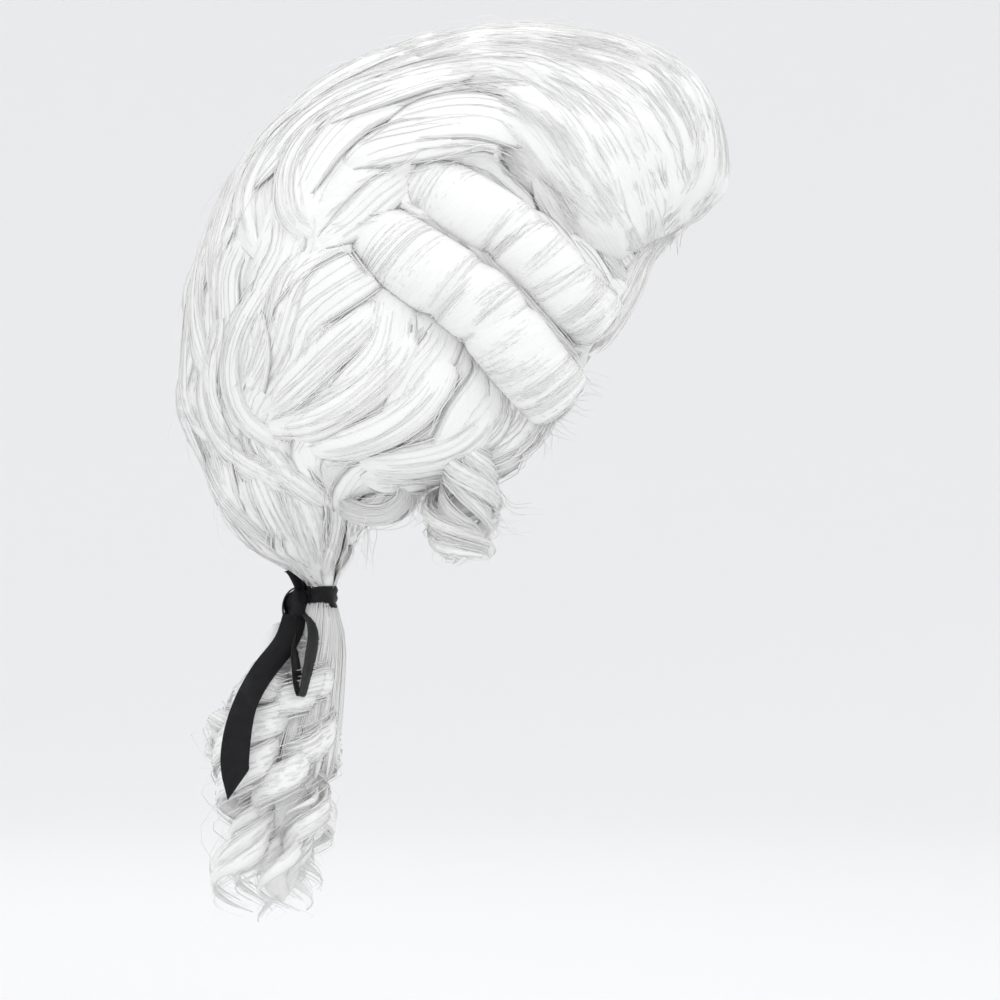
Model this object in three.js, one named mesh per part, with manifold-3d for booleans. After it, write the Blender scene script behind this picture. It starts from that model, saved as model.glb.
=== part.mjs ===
// Powdered wig: a net cap, a foretop roll, paired side curls, wavy back hair
// and a corkscrew queue tied with a satin ribbon.
// Millimetres. +X is the front, +Y the left, +Z up.
// The origin is the crown, on the inner face of the cap.
import * as THREE from 'three';
import { mergeVertices } from 'three/addons/utils/BufferGeometryUtils.js';
import Module from 'manifold-3d';

const wasm = await Module();
wasm.setup();

// Form that the cap fits, with its narrow lower end
const HEAD_LENGTH = 197;
const HEAD_BREADTH = 152;
const HEAD_HEIGHT = 250;
const CROWN_SHARE = 0.4;
const NECK_LENGTH = 122;
const NECK_BREADTH = 114;
const NECK_INSET = 30.5;
const NECK_TOP_SHARE = 0.56;
const NECK_FOOT_SHARE = 1.2;

// Cap and clearances
const CAP_WALL = 2;
const GAP = 0.45;
const SMOOTHING = 0.25;

// How many facets the two large hair masses have, round and along
const ROLL_FACETS = 30;
const ROLL_STEPS = 15;
const HAIR_FACETS = 22;
const HAIR_STEPS = 26;

// Foretop and back hair: how far they stand off the fitted form
const FORETOP_OVERHANG = 28;
const FORETOP_RISE = 37.5;
const FORETOP_SIDE = 7;
const FORETOP_SQUARENESS = 2.5;
const FORETOP_RIDGE = 0.9;
const FORETOP_RIDGE_COUNT = 10;
const BACK_FULLNESS = 48.5;
const BACK_SIDE = 23;
const BACK_RISE = 31;
const BACK_WAVE = 2;
const BACK_WAVE_LENGTH = 58;
const SIDE_HAIR_THICKNESS = 7;

// Sausage curls
const UPPER_CURL_WIDTH = 33;
const LOWER_CURL_WIDTH = 38;
const CURL_WALL = 3;
const CURL_FLATNESS = 0.78;
const SEAM_DEPTH = 3.6;
const SEAM_WIDTH_SHARE = 0.035;
const SEAM_SLANT = 0.03;

// Hanging side ringlet and curl at the nape
const RINGLET_LENGTH = 46;
const RINGLET_COIL = 21;
const RINGLET_LOCK = 16;
const RINGLET_TURNS = 1.75;
const RINGLET_OUT = 18;
const NAPE_CURL_COIL = 21;
const NAPE_CURL_LOCK = 11.6;
const NAPE_CURL_OUT = 15;

// Tie, queue and ribbon
const TIE_BELOW_HEAD = 1;
const RIBBON_WIDTH = 14;
const RIBBON_THICKNESS = 1;
const BAND_RADIUS = 7;
const KNOT_DEPTH = 14;
const KNOT_BREADTH = 16;
const KNOT_HEIGHT = 20;
const QUEUE_LENGTH = 157;
const QUEUE_DEPTH = 54;
const QUEUE_BREADTH = 54;
const LOCK_WIDTH = 19;
const LOCK_COIL = 20;
const TAIL_LENGTH = 93;
const LOOP_LENGTH = 44;
const LOOP_TURN = 20;

const WHITE_HAIR = { color: 0xf1f1f3, roughness: 0.45, metalness: 0 };
const NET = { color: 0xe4dfd8, roughness: 0.9, metalness: 0 };
const SATIN = { color: 0x17171a, roughness: 0.35, metalness: 0 };

// Foretop: upright sections from the crown to the front. Heights above the
// crown are shares of the rise, heights below it shares of the fitted height.
const FORETOP_ROWS = [
  { x: -0.431, top: 0.133, bottom: 0.133, half: 0 },
  { x: -0.419, top: 0.427, bottom: -0.02, half: 0.265 },
  { x: -0.368, top: 0.613, bottom: -0.048, half: 0.458 },
  { x: -0.257, top: 0.773, bottom: -0.092, half: 0.663 },
  { x: -0.099, top: 0.933, bottom: -0.16, half: 0.819 },
  { x: 0.099, top: 1.0, bottom: -0.24, half: 0.94 },
  { x: 0.296, top: 0.987, bottom: -0.332, half: 1.0 },
  { x: 0.455, top: 0.92, bottom: -0.402, half: 1.0 },
  { x: 0.565, top: 0.853, bottom: -0.384, half: 0.964 },
  { x: 0.652, top: 0.76, bottom: -0.328, half: 0.916 },
  { x: 0.715, top: 0.667, bottom: -0.288, half: 0.837 },
  { x: 0.779, top: 0.547, bottom: -0.272, half: 0.753 },
  { x: 0.842, top: 0.427, bottom: -0.25, half: 0.651 },
  { x: 0.901, top: 0.24, bottom: -0.224, half: 0.536 },
  { x: 0.949, top: -0.016, bottom: -0.202, half: 0.398 },
  { x: 0.98, top: -0.072, bottom: -0.186, half: 0.265 },
  { x: 0.996, top: -0.116, bottom: -0.172, half: 0.139 },
  { x: 1.002, top: -0.148, bottom: -0.148, half: 0 },
];

// Back hair: level sections from the crown down to the tie. Gather is how far
// a section is pulled in to the round stem under the ribbon.
const BACK_ROWS = [
  { z: 0.984, back: -0.119, front: -0.119, half: 0, gather: 0 },
  { z: 0.935, back: -0.194, front: -0.017, half: 0.202, gather: 0 },
  { z: 0.839, back: -0.282, front: 0.119, half: 0.404, gather: 0 },
  { z: 0.677, back: -0.378, front: 0.221, half: 0.545, gather: 0 },
  { z: 0.435, back: -0.473, front: 0.296, half: 0.646, gather: 0 },
  { z: 0.161, back: -0.568, front: 0.35, half: 0.737, gather: 0 },
  { z: -0.02, back: -0.65, front: 0.357, half: 0.808, gather: 0 },
  { z: -0.076, back: -0.724, front: 0.289, half: 0.869, gather: 0 },
  { z: -0.131, back: -0.799, front: 0.221, half: 0.899, gather: 0 },
  { z: -0.187, back: -0.85, front: 0.187, half: 0.929, gather: 0 },
  { z: -0.247, back: -0.901, front: 0.167, half: 0.949, gather: 0 },
  { z: -0.317, back: -0.946, front: 0.153, half: 0.97, gather: 0 },
  { z: -0.398, back: -0.969, front: 0.167, half: 0.99, gather: 0 },
  { z: -0.478, back: -0.98, front: 0.201, half: 1.0, gather: 0 },
  { z: -0.548, back: -0.986, front: 0.235, half: 1.0, gather: 0 },
  { z: -0.602, back: -1.0, front: 0.248, half: 0.99, gather: 0 },
  { z: -0.659, back: -0.969, front: 0.248, half: 0.96, gather: 0 },
  { z: -0.709, back: -0.939, front: 0.207, half: 0.919, gather: 0 },
  { z: -0.741, back: -0.918, front: 0.092, half: 0.879, gather: 0 },
  { z: -0.763, back: -0.901, front: -0.146, half: 0.838, gather: 0 },
  { z: -0.781, back: -0.888, front: -0.303, half: 0.808, gather: 0 },
  { z: -0.805, back: -0.871, front: -0.374, half: 0.758, gather: 0 },
  { z: -0.839, back: -0.85, front: -0.401, half: 0.667, gather: 0.05 },
  { z: -0.884, back: -0.806, front: -0.418, half: 0.505, gather: 0.1 },
  { z: -0.914, back: -0.738, front: -0.439, half: 0.343, gather: 0.2 },
  { z: -0.934, back: -0.656, front: -0.456, half: 0.202, gather: 0.35 },
  { z: -0.952, back: -0.585, front: -0.466, half: 0.101, gather: 0.7 },
  { z: -0.972, back: -0.565, front: -0.473, half: 0.067, gather: 1 },
  { z: -1.0, back: -0.561, front: -0.476, half: 0.064, gather: 1 },
];

// Queue: level sections of its core, as shares beyond the stem.
const QUEUE_ROWS = [
  { drop: 0, back: -0.007, front: -0.002, half: -0.004 },
  { drop: 0.052, back: -0.026, front: 0.017, half: 0.002 },
  { drop: 0.106, back: 0.057, front: 0.026, half: 0.065 },
  { drop: 0.173, back: 0.233, front: 0.026, half: 0.176 },
  { drop: 0.252, back: 0.437, front: 0.017, half: 0.287 },
  { drop: 0.364, back: 0.567, front: -0.002, half: 0.361 },
  { drop: 0.491, back: 0.604, front: -0.039, half: 0.38 },
  { drop: 0.634, back: 0.631, front: -0.067, half: 0.38 },
  { drop: 0.778, back: 0.65, front: -0.122, half: 0.361 },
  { drop: 0.889, back: 0.604, front: -0.215, half: 0.269 },
  { drop: 0.953, back: 0.493, front: -0.344, half: 0.102 },
  { drop: 0.978, back: 0.298, front: -0.539, half: -0.12 },
];

// Corkscrew locks round the queue: x and out place the middle of the coil,
// top and foot are shares of the queue's length.
const LOCK_ROWS = [
  { x: -0.92, out: 0, top: 0.28, foot: 0.78, turns: 2, phase: 0.1 },
  { x: -0.67, out: 0.4, top: 0.3, foot: 0.93, turns: 2, phase: 0.7 },
  { x: -0.16, out: 0.4, top: 0.23, foot: 0.98, turns: 2.5, phase: 0.3 },
  { x: -0.67, out: -0.4, top: 0.32, foot: 0.95, turns: 2, phase: 0.4 },
  { x: -0.16, out: -0.4, top: 0.22, foot: 0.9, turns: 2.5, phase: 0.9 },
];

// Sausage curls, from the rear to the open front end: middle and half width.
const UPPER_CURL_ROWS = [
  { x: -0.201, z: -0.156, half: 0.333 },
  { x: -0.15, z: -0.176, half: 0.455 },
  { x: -0.076, z: -0.208, half: 0.494 },
  { x: 0.013, z: -0.248, half: 0.5 },
  { x: 0.096, z: -0.292, half: 0.5 },
  { x: 0.168, z: -0.344, half: 0.491 },
  { x: 0.228, z: -0.398, half: 0.473 },
  { x: 0.274, z: -0.432, half: 0.461 },
  { x: 0.305, z: -0.454, half: 0.455 },
];
const UPPER_SEAMS = [0.5];
const LOWER_CURL_ROWS = [
  { x: -0.317, z: -0.24, half: 0.263 },
  { x: -0.277, z: -0.27, half: 0.408 },
  { x: -0.211, z: -0.308, half: 0.489 },
  { x: -0.129, z: -0.35, half: 0.5 },
  { x: -0.069, z: -0.38, half: 0.5 },
  { x: -0.018, z: -0.406, half: 0.5 },
  { x: 0.036, z: -0.444, half: 0.5 },
  { x: 0.081, z: -0.486, half: 0.5 },
  { x: 0.124, z: -0.528, half: 0.489 },
  { x: 0.168, z: -0.568, half: 0.474 },
  { x: 0.206, z: -0.602, half: 0.461 },
];
const LOWER_SEAMS = [0.45, 0.63];

// Ribbon tail from the knot to its slanted end, as shares of its length.
const TAIL_ROWS = [
  { x: -0.036, drop: 0.102, out: 0.086, width: 1.134, tilt: -62 },
  { x: -0.079, drop: 0.22, out: 0.14, width: 0.682, tilt: -47 },
  { x: -0.16, drop: 0.315, out: 0.237, width: 0.847, tilt: -28 },
  { x: -0.219, drop: 0.414, out: 0.333, width: 0.849, tilt: -15 },
  { x: -0.262, drop: 0.513, out: 0.409, width: 0.894, tilt: -2 },
  { x: -0.291, drop: 0.626, out: 0.452, width: 1.016, tilt: 10 },
  { x: -0.305, drop: 0.737, out: 0.478, width: 1.074, tilt: 15 },
  { x: -0.305, drop: 0.833, out: 0.484, width: 1.028, tilt: 20 },
  { x: -0.291, drop: 0.906, out: 0.487, width: 1.089, tilt: 49 },
];

// Ribbon loop from the knot down and up again, as shares of its length.
const LOOP_ROWS = [
  { x: 0.02, drop: 0.284, out: 0.205 },
  { x: -0.008, drop: 0.466, out: 0.402 },
  { x: 0.009, drop: 0.648, out: 0.559 },
  { x: 0.032, drop: 0.852, out: 0.67 },
  { x: 0.072, drop: 0.966, out: 0.727 },
  { x: 0.111, drop: 0.875, out: 0.67 },
  { x: 0.145, drop: 0.693, out: 0.605 },
  { x: 0.18, drop: 0.466, out: 0.493 },
  { x: 0.197, drop: 0.307, out: 0.402 },
  { x: 0.168, drop: 0.148, out: 0.25 },
];

// Lower edge of the cap, from the front over the side to the nape, then round
// above the cap.
const EDGE_ROWS = [
  { x: 0.571, z: -0.036 },
  { x: 0.449, z: -0.264 },
  { x: 0.409, z: -0.296 },
  { x: 0.36, z: -0.346 },
  { x: 0.33, z: -0.406 },
  { x: 0.284, z: -0.482 },
  { x: 0.244, z: -0.544 },
  { x: 0.178, z: -0.556 },
  { x: 0.114, z: -0.5 },
  { x: 0.038, z: -0.472 },
  { x: -0.058, z: -0.472 },
  { x: -0.129, z: -0.508 },
  { x: -0.195, z: -0.58 },
  { x: -0.231, z: -0.656 },
  { x: -0.246, z: -0.736 },
  { x: -0.261, z: -0.78 },
  { x: -0.444, z: -0.788 },
  { x: -0.602, z: -0.736 },
  { x: -0.602, z: 0.08 },
  { x: 0.571, z: 0.08 },
];

// Outline of the flat hair on the temple, under both side curls.
const SIDE_ROWS = [
  { x: -0.317, z: -0.096 },
  { x: -0.19, z: -0.04 },
  { x: -0.013, z: -0.116 },
  { x: 0.14, z: -0.226 },
  { x: 0.317, z: -0.356 },
  { x: 0.388, z: -0.376 },
  { x: 0.348, z: -0.42 },
  { x: 0.297, z: -0.486 },
  { x: 0.261, z: -0.552 },
  { x: 0.216, z: -0.606 },
  { x: 0.152, z: -0.62 },
  { x: 0.063, z: -0.58 },
  { x: -0.023, z: -0.516 },
  { x: -0.099, z: -0.448 },
  { x: -0.19, z: -0.408 },
  { x: -0.279, z: -0.364 },
  { x: -0.348, z: -0.292 },
  { x: -0.368, z: -0.196 },
];

/** Rows of a table with each column turned into millimetres. */
function sized(rows, measures) {
  return rows.map((row) => Object.fromEntries(
    Object.entries(row).map(([key, share]) => [key, measures[key](share)]),
  ));
}

const same = (share) => share;
const times = (size) => (share) => share * size;
const aboveOrBelow = (rise, drop) => (share) => share * (share > 0 ? rise : drop);

const neckBack = NECK_INSET - HEAD_LENGTH / 2;
const stemRadius = BAND_RADIUS - GAP;
const tieX = neckBack - BAND_RADIUS - RIBBON_THICKNESS - GAP;
const tieZ = -HEAD_HEIGHT + TIE_BELOW_HEAD;
const knotX = tieX - BAND_RADIUS - 0.36 * KNOT_DEPTH;
const knotZ = tieZ - 0.2 * KNOT_HEIGHT;
const foretopSize = times(HEAD_LENGTH / 2 + FORETOP_OVERHANG);
const foretopLevel = aboveOrBelow(FORETOP_RISE, HEAD_HEIGHT);
const foretopRows = sized(FORETOP_ROWS, {
  x: foretopSize,
  top: foretopLevel,
  bottom: foretopLevel,
  half: times(HEAD_BREADTH / 2 + FORETOP_SIDE),
});
const backSize = times(HEAD_LENGTH / 2 + BACK_FULLNESS);
const backRows = sized(BACK_ROWS, {
  z: aboveOrBelow(BACK_RISE, -tieZ),
  back: backSize,
  front: backSize,
  half: times(HEAD_BREADTH / 2 + BACK_SIDE),
  gather: same,
}).map((row) => ({
  z: row.z,
  back: THREE.MathUtils.lerp(row.back, tieX - stemRadius, row.gather),
  front: THREE.MathUtils.lerp(row.front, tieX + stemRadius, row.gather),
  half: THREE.MathUtils.lerp(row.half, stemRadius, row.gather),
}));
const queueRows = QUEUE_ROWS.map((row) => ({
  z: tieZ - GAP - row.drop * QUEUE_LENGTH,
  back: tieX - stemRadius - row.back * QUEUE_DEPTH,
  front: tieX + stemRadius + row.front * QUEUE_DEPTH,
  half: Math.max(0, stemRadius + row.half * QUEUE_BREADTH),
}));
const curlRows = (rows, width) => sized(rows, {
  x: times(HEAD_LENGTH), z: times(HEAD_HEIGHT), half: times(width),
});
const upperRows = curlRows(UPPER_CURL_ROWS, UPPER_CURL_WIDTH);
const lowerRows = curlRows(LOWER_CURL_ROWS, LOWER_CURL_WIDTH);
const tailSize = times(TAIL_LENGTH);
const tailRows = sized(TAIL_ROWS, {
  x: tailSize, drop: tailSize, out: tailSize, width: times(RIBBON_WIDTH), tilt: same,
});
const loopSize = times(LOOP_LENGTH);
const loopRows = sized(LOOP_ROWS, { x: loopSize, drop: loopSize, out: loopSize });
const onHead = { x: times(HEAD_LENGTH), z: times(HEAD_HEIGHT) };
const edgeRows = sized(EDGE_ROWS, onHead);
const sideRows = sized(SIDE_ROWS, onHead);

const group = new THREE.Group();
group.name = 'powdered_wig';

/** Smooth value of one column of a table at share t of its rows. */
function along(rows, key, t) {
  const last = rows.length - 1;
  const place = THREE.MathUtils.clamp(t, 0, 1) * last;
  const first = Math.min(Math.floor(place), last - 1);
  const f = place - first;
  const [p, q, r, s] = [-1, 0, 1, 2].map(
    (step) => rows[THREE.MathUtils.clamp(first + step, 0, last)][key],
  );
  return q + 0.5 * f * (r - p + f * (2 * p - 5 * q + 4 * r - s + f * (3 * (q - r) + s - p)));
}

/** Closed solid of a geometry, facing outward and free of empty triangles. */
function solidOf(source) {
  const bare = source.clone();
  bare.deleteAttribute('normal');
  bare.deleteAttribute('uv');
  const welded = mergeVertices(bare, 1e-3);
  const points = welded.attributes.position.array;
  const corner = (i) => new THREE.Vector3().fromArray(points, 3 * i);
  const faces = [];
  let volume = 0;
  for (let i = 0; i < welded.index.count; i += 3) {
    const [a, b, c] = [0, 1, 2].map((k) => welded.index.getX(i + k));
    if (a !== b && b !== c && c !== a) {
      faces.push([a, b, c]);
      volume += corner(a).cross(corner(b)).dot(corner(c));
    }
  }
  const turned = volume < 0 ? faces.map(([a, b, c]) => [a, c, b]) : faces;
  return new wasm.Manifold(new wasm.Mesh({
    numProp: 3,
    vertProperties: new Float32Array(points),
    triVerts: new Uint32Array(turned.flat()),
  }));
}

/** Closed body through rings: place(t, turn, reach) is a point of ring t. */
function skin(rounds, steps, place) {
  const geometry = new THREE.CylinderGeometry(1, 1, 1, rounds, steps);
  const points = geometry.attributes.position;
  for (let i = 0; i < points.count; i += 1) {
    const reach = Math.hypot(points.getX(i), points.getZ(i)) < 0.5 ? 0 : 1;
    const turn = Math.atan2(points.getZ(i), points.getX(i));
    const spot = place(0.5 - points.getY(i), turn, reach);
    points.setXYZ(i, spot.x, spot.y, spot.z);
  }
  return solidOf(geometry);
}

/** Rounded square function: power 2 is a circle, more is squarer. */
function rounded(value, power) {
  return Math.sign(value) * Math.abs(value) ** (2 / power);
}

/** Prism between both sides of the wig whose side view is a row table. */
function prism(rows, grow, from, to) {
  const middle = new THREE.Vector2();
  rows.forEach(({ x, z }) => middle.add(new THREE.Vector2(x, z)));
  middle.divideScalar(rows.length);
  const corners = rows.map(({ x, z }) => {
    const spot = new THREE.Vector2(x, z);
    const way = spot.clone().sub(middle).normalize();
    return spot.addScaledVector(way, grow);
  });
  const geometry = new THREE.ExtrudeGeometry(new THREE.Shape(corners), {
    depth: to - from, bevelEnabled: false, steps: 1,
  });
  geometry.rotateX(Math.PI / 2).translate(0, to, 0);
  return solidOf(geometry);
}

/** The fitted form, grown evenly outward. */
function headForm(grow) {
  const geometry = new THREE.SphereGeometry(1, 20, 14);
  geometry.rotateX(Math.PI / 2);
  const points = geometry.attributes.position;
  for (let i = 0; i < points.count; i += 1) {
    const deep = HEAD_HEIGHT * (points.getZ(i) > 0 ? CROWN_SHARE : 1 - CROWN_SHARE);
    points.setXYZ(
      i,
      points.getX(i) * (HEAD_LENGTH / 2 + grow),
      points.getY(i) * (HEAD_BREADTH / 2 + grow),
      points.getZ(i) * (deep + grow) - CROWN_SHARE * HEAD_HEIGHT,
    );
  }
  const [top, foot] = [-NECK_TOP_SHARE * HEAD_HEIGHT, -NECK_FOOT_SHARE * HEAD_HEIGHT];
  const neck = new THREE.CylinderGeometry(1, 1, top - foot, 16, 1);
  neck.rotateX(Math.PI / 2);
  neck.scale(NECK_LENGTH / 2 + grow, NECK_BREADTH / 2 + grow, 1);
  neck.translate(neckBack + NECK_LENGTH / 2, 0, (top + foot) / 2);
  return solidOf(geometry).add(solidOf(neck));
}

/** Half breadth of the fitted form at a side-view point. */
function sideOfHead(x, z) {
  const rise = z + CROWN_SHARE * HEAD_HEIGHT;
  const deep = HEAD_HEIGHT * (rise > 0 ? CROWN_SHARE : 1 - CROWN_SHARE);
  const left = 1 - (2 * x / HEAD_LENGTH) ** 2 - (rise / deep) ** 2;
  return (HEAD_BREADTH / 2) * Math.sqrt(Math.max(left, 0.05));
}

/** Foretop roll as upright rounded sections with shallow combed ridges. */
function foretopForm(grow) {
  return skin(ROLL_FACETS, ROLL_STEPS, (t, turn, reach) => {
    const top = along(foretopRows, 'top', t);
    const bottom = along(foretopRows, 'bottom', t);
    const half = along(foretopRows, 'half', t);
    const body = half > 1 ? 1 : 0;
    const ridge = body * FORETOP_RIDGE * Math.cos(FORETOP_RIDGE_COUNT * turn) * Math.sin(Math.PI * t);
    const more = (grow + ridge) * body * reach;
    return {
      x: along(foretopRows, 'x', t) + (t > 0.8 ? grow : 0),
      y: (half * reach + more) * rounded(Math.cos(turn), FORETOP_SQUARENESS),
      z: (top + bottom) / 2
        + ((top - bottom) / 2 * reach + more) * rounded(Math.sin(turn), FORETOP_SQUARENESS),
    };
  });
}

/** Level sections of a table, squarer in front, with waves down the length. */
function levelForm(rows, grow, rounds, steps, wave) {
  return skin(rounds, steps, (t, turn, reach) => {
    const back = along(rows, 'back', t);
    const front = along(rows, 'front', t);
    const half = along(rows, 'half', t);
    const z = along(rows, 'z', t);
    const body = THREE.MathUtils.smoothstep(half, BAND_RADIUS, 4 * BAND_RADIUS);
    const ripple = wave * body * Math.sin(2 * Math.PI * z / BACK_WAVE_LENGTH + 4 * Math.abs(turn));
    const more = half > 1 ? (grow + ripple) * reach : 0;
    const power = 2 + (Math.cos(turn) > 0 ? 1.2 : 0.1) * body;
    return {
      x: (back + front) / 2 + ((front - back) / 2 * reach + more) * rounded(Math.cos(turn), power),
      y: (half * reach + more) * rounded(Math.sin(turn), power),
      z,
    };
  });
}

/** Sausage curl on the right side; inner draws the hollow instead. */
function curlForm(rows, seams, grow, inner) {
  const spine = (t) => {
    const x = along(rows, 'x', t);
    const z = along(rows, 'z', t);
    const half = along(rows, 'half', t);
    const out = sideOfHead(x, z) + CAP_WALL + SIDE_HAIR_THICKNESS / 2 + CURL_FLATNESS * half;
    return new THREE.Vector3(x, -out, z);
  };
  return skin(inner ? 8 : 10, inner ? 5 : 16, (share, turn, reach) => {
    const start = inner ? 0.12 : 0;
    const t = start + share * (1 - start);
    const middle = spine(t);
    const way = spine(t + 0.01).sub(spine(t - 0.01)).normalize();
    const out = new THREE.Vector3(0, -1, 0).addScaledVector(way, way.y).normalize();
    const up = new THREE.Vector3().crossVectors(way, out);
    const seam = seams.reduce((sum, place) => {
      const off = (t - place + SEAM_SLANT * Math.sin(turn)) / SEAM_WIDTH_SHARE;
      return sum + Math.exp(-off * off);
    }, 0);
    const taper = inner ? Math.min(1, 0.25 + 6 * share) : Math.min(1, 0.35 + 9 * share);
    const plump = along(rows, 'half', t) * taper;
    const half = inner ? plump - CURL_WALL : plump - SEAM_DEPTH / 2 * seam + grow;
    const ends = inner && share > 0.99 ? 2 : 0;
    const edge = grow * (share > 0.99 ? 1 : share < 0.01 ? -1 : 0);
    return middle
      .addScaledVector(way, ends + edge)
      .addScaledVector(up, reach * half * Math.sin(turn))
      .addScaledVector(out, reach * half * CURL_FLATNESS * Math.cos(turn));
  });
}

/** Round lock along a curve that thins to its tip. */
function lockForm(curve, half, thin, rounds, steps) {
  const frames = curve.computeFrenetFrames(steps, false);
  return skin(rounds, steps, (t, turn, reach) => {
    const i = Math.round(t * steps);
    const size = half * (1 - (1 - thin) * t ** 2) * reach;
    return curve.getPointAt(t)
      .addScaledVector(frames.normals[i], size * Math.cos(turn))
      .addScaledVector(frames.binormals[i], size * Math.sin(turn));
  });
}

/** Coil that winds down about an upright line. */
function coil(x, y, top, foot, radius, turns, phase) {
  const spots = [];
  const count = Math.round(turns * 8);
  for (let i = 0; i <= count; i += 1) {
    const share = i / count;
    const angle = 2 * Math.PI * (phase + turns * share);
    const open = radius * (0.55 + 0.45 * Math.sin(Math.PI * Math.min(1, share + 0.25)));
    spots.push(new THREE.Vector3(
      x + open * Math.cos(angle),
      y + open * Math.sin(angle),
      top + (foot - top) * share,
    ));
  }
  return new THREE.CatmullRomCurve3(spots);
}

/** Flat ribbon between two edge lines: side -1..1 and face -1..1 at share t. */
function ribbonForm(steps, place) {
  const geometry = new THREE.BoxGeometry(2, 1, 2, 1, steps, 1);
  const points = geometry.attributes.position;
  for (let i = 0; i < points.count; i += 1) {
    const spot = place(0.5 - points.getY(i), points.getX(i), points.getZ(i));
    points.setXYZ(i, spot.x, spot.y, spot.z);
  }
  return solidOf(geometry);
}

/** Largest connected body of a cut solid. */
function mainBody(solid) {
  const bodies = solid.decompose();
  return bodies.reduce((most, body) => (body.volume() > most.volume() ? body : most));
}

/** Adds a solid to the group as a named mesh. */
function addNode(name, solid, finish) {
  const { vertProperties, triVerts } = mainBody(solid).simplify(SMOOTHING).getMesh();
  const geometry = new THREE.BufferGeometry();
  geometry.setAttribute('position', new THREE.BufferAttribute(vertProperties, 3));
  geometry.setIndex(new THREE.BufferAttribute(triVerts, 1));
  geometry.computeVertexNormals();
  const mesh = new THREE.Mesh(geometry, new THREE.MeshStandardMaterial(finish));
  mesh.name = name;
  group.add(mesh);
}

/** Adds a right-side solid and its mirror image, each cut by its neighbours. */
function addPair(name, solid, neighbours, finish) {
  const cut = (start) => neighbours.reduce((rest, other) => rest.subtract(other), start);
  addNode(`${name}_right`, cut(solid), finish);
  addNode(`${name}_left`, cut(solid.mirror([0, 1, 0])), finish);
}

/** A solid together with its mirror image. */
function both(solid) {
  return solid.add(solid.mirror([0, 1, 0]));
}

const reach = HEAD_LENGTH;
const carrier = headForm(CAP_WALL + GAP);

// Cap
const cap = headForm(CAP_WALL).subtract(headForm(0)).intersect(prism(edgeRows, 0, -reach, reach));
addNode('wig_cap', cap, NET);

// Side curls
const upper = curlForm(upperRows, UPPER_SEAMS, 0, false);
const upperGrown = curlForm(upperRows, UPPER_SEAMS, GAP, false);
const lower = curlForm(lowerRows, LOWER_SEAMS, 0, false);
const lowerGrown = curlForm(lowerRows, LOWER_SEAMS, GAP, false);
const upperBody = upper.subtract(curlForm(upperRows, UPPER_SEAMS, 0, true));
const lowerBody = lower.subtract(curlForm(lowerRows, LOWER_SEAMS, 0, true));
const curlsGrown = both(upperGrown.add(lowerGrown));
addPair('side_curl_upper', upperBody, [carrier], WHITE_HAIR);
addPair('side_curl_lower', lowerBody, [carrier, both(upperGrown)], WHITE_HAIR);

// Flat hair on the temples
const sideRight = headForm(CAP_WALL + SIDE_HAIR_THICKNESS).intersect(prism(sideRows, 0, -reach, 0));
addPair('side_hair', sideRight, [carrier, curlsGrown], WHITE_HAIR);
const sideGrown = headForm(CAP_WALL + SIDE_HAIR_THICKNESS + GAP)
  .intersect(prism(sideRows, 2 * GAP, -reach, reach));

// Foretop roll
const foretop = foretopForm(0).subtract(carrier).subtract(curlsGrown).subtract(sideGrown);
addNode('foretop', foretop, WHITE_HAIR);

// Tie of the ribbon
const bandForm = (grow) => {
  const corners = [[0, -1], [1, -1], [1, 1], [0, 1], [0, -1]].map(([out, up]) => new THREE.Vector2(
    BAND_RADIUS + out * RIBBON_THICKNESS + (2 * out - 1) * grow,
    up * (RIBBON_WIDTH / 2 + grow),
  ));
  return solidOf(new THREE.LatheGeometry(corners, 16).rotateX(Math.PI / 2)
    .translate(tieX, 0, tieZ));
};
const knotForm = (grow) => solidOf(new THREE.SphereGeometry(1, 10, 8).rotateX(Math.PI / 2)
  .scale(KNOT_DEPTH / 2 + grow, KNOT_BREADTH / 2 + grow, KNOT_HEIGHT / 2 + grow)
  .translate(knotX, 0, knotZ));
const tieGrown = bandForm(GAP).add(knotForm(GAP));

// Back hair
const backHair = levelForm(backRows, 0, HAIR_FACETS, HAIR_STEPS, BACK_WAVE)
  .subtract(carrier).subtract(foretopForm(GAP)).subtract(curlsGrown).subtract(sideGrown)
  .subtract(tieGrown);
addNode('back_hair', backHair, WHITE_HAIR);
const backGrown = levelForm(backRows, GAP, HAIR_FACETS, HAIR_STEPS, BACK_WAVE);

// Hanging side ringlet
const ringletX = -0.02 * HEAD_LENGTH;
const ringletTop = -0.712 * HEAD_HEIGHT;
const ringletCurve = coil(
  ringletX,
  -(NECK_BREADTH / 2 + RINGLET_OUT),
  ringletTop,
  ringletTop - RINGLET_LENGTH,
  RINGLET_COIL / 2,
  RINGLET_TURNS,
  0.55,
);
const ringlet = lockForm(ringletCurve, RINGLET_LOCK / 2, 0.6, 7, 16);
addPair('ear_ringlet', ringlet, [backGrown, carrier], WHITE_HAIR);

// Curl at the nape, three quarters of a ring
const napeSpots = [];
for (let i = 0; i <= 10; i += 1) {
  const share = i / 10;
  const angle = Math.PI * (0.95 + 1.65 * share);
  napeSpots.push(new THREE.Vector3(
    -0.228 * HEAD_LENGTH + NAPE_CURL_COIL / 2 * Math.cos(angle),
    -(NECK_BREADTH / 2 + NAPE_CURL_OUT),
    -0.776 * HEAD_HEIGHT + NAPE_CURL_COIL / 2 * Math.sin(angle),
  ));
}
const napeCurve = new THREE.CatmullRomCurve3(napeSpots);
const nape = lockForm(napeCurve, NAPE_CURL_LOCK / 2, 0.6, 8, 14);
addPair('nape_curl', nape, [backGrown, carrier], WHITE_HAIR);

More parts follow.
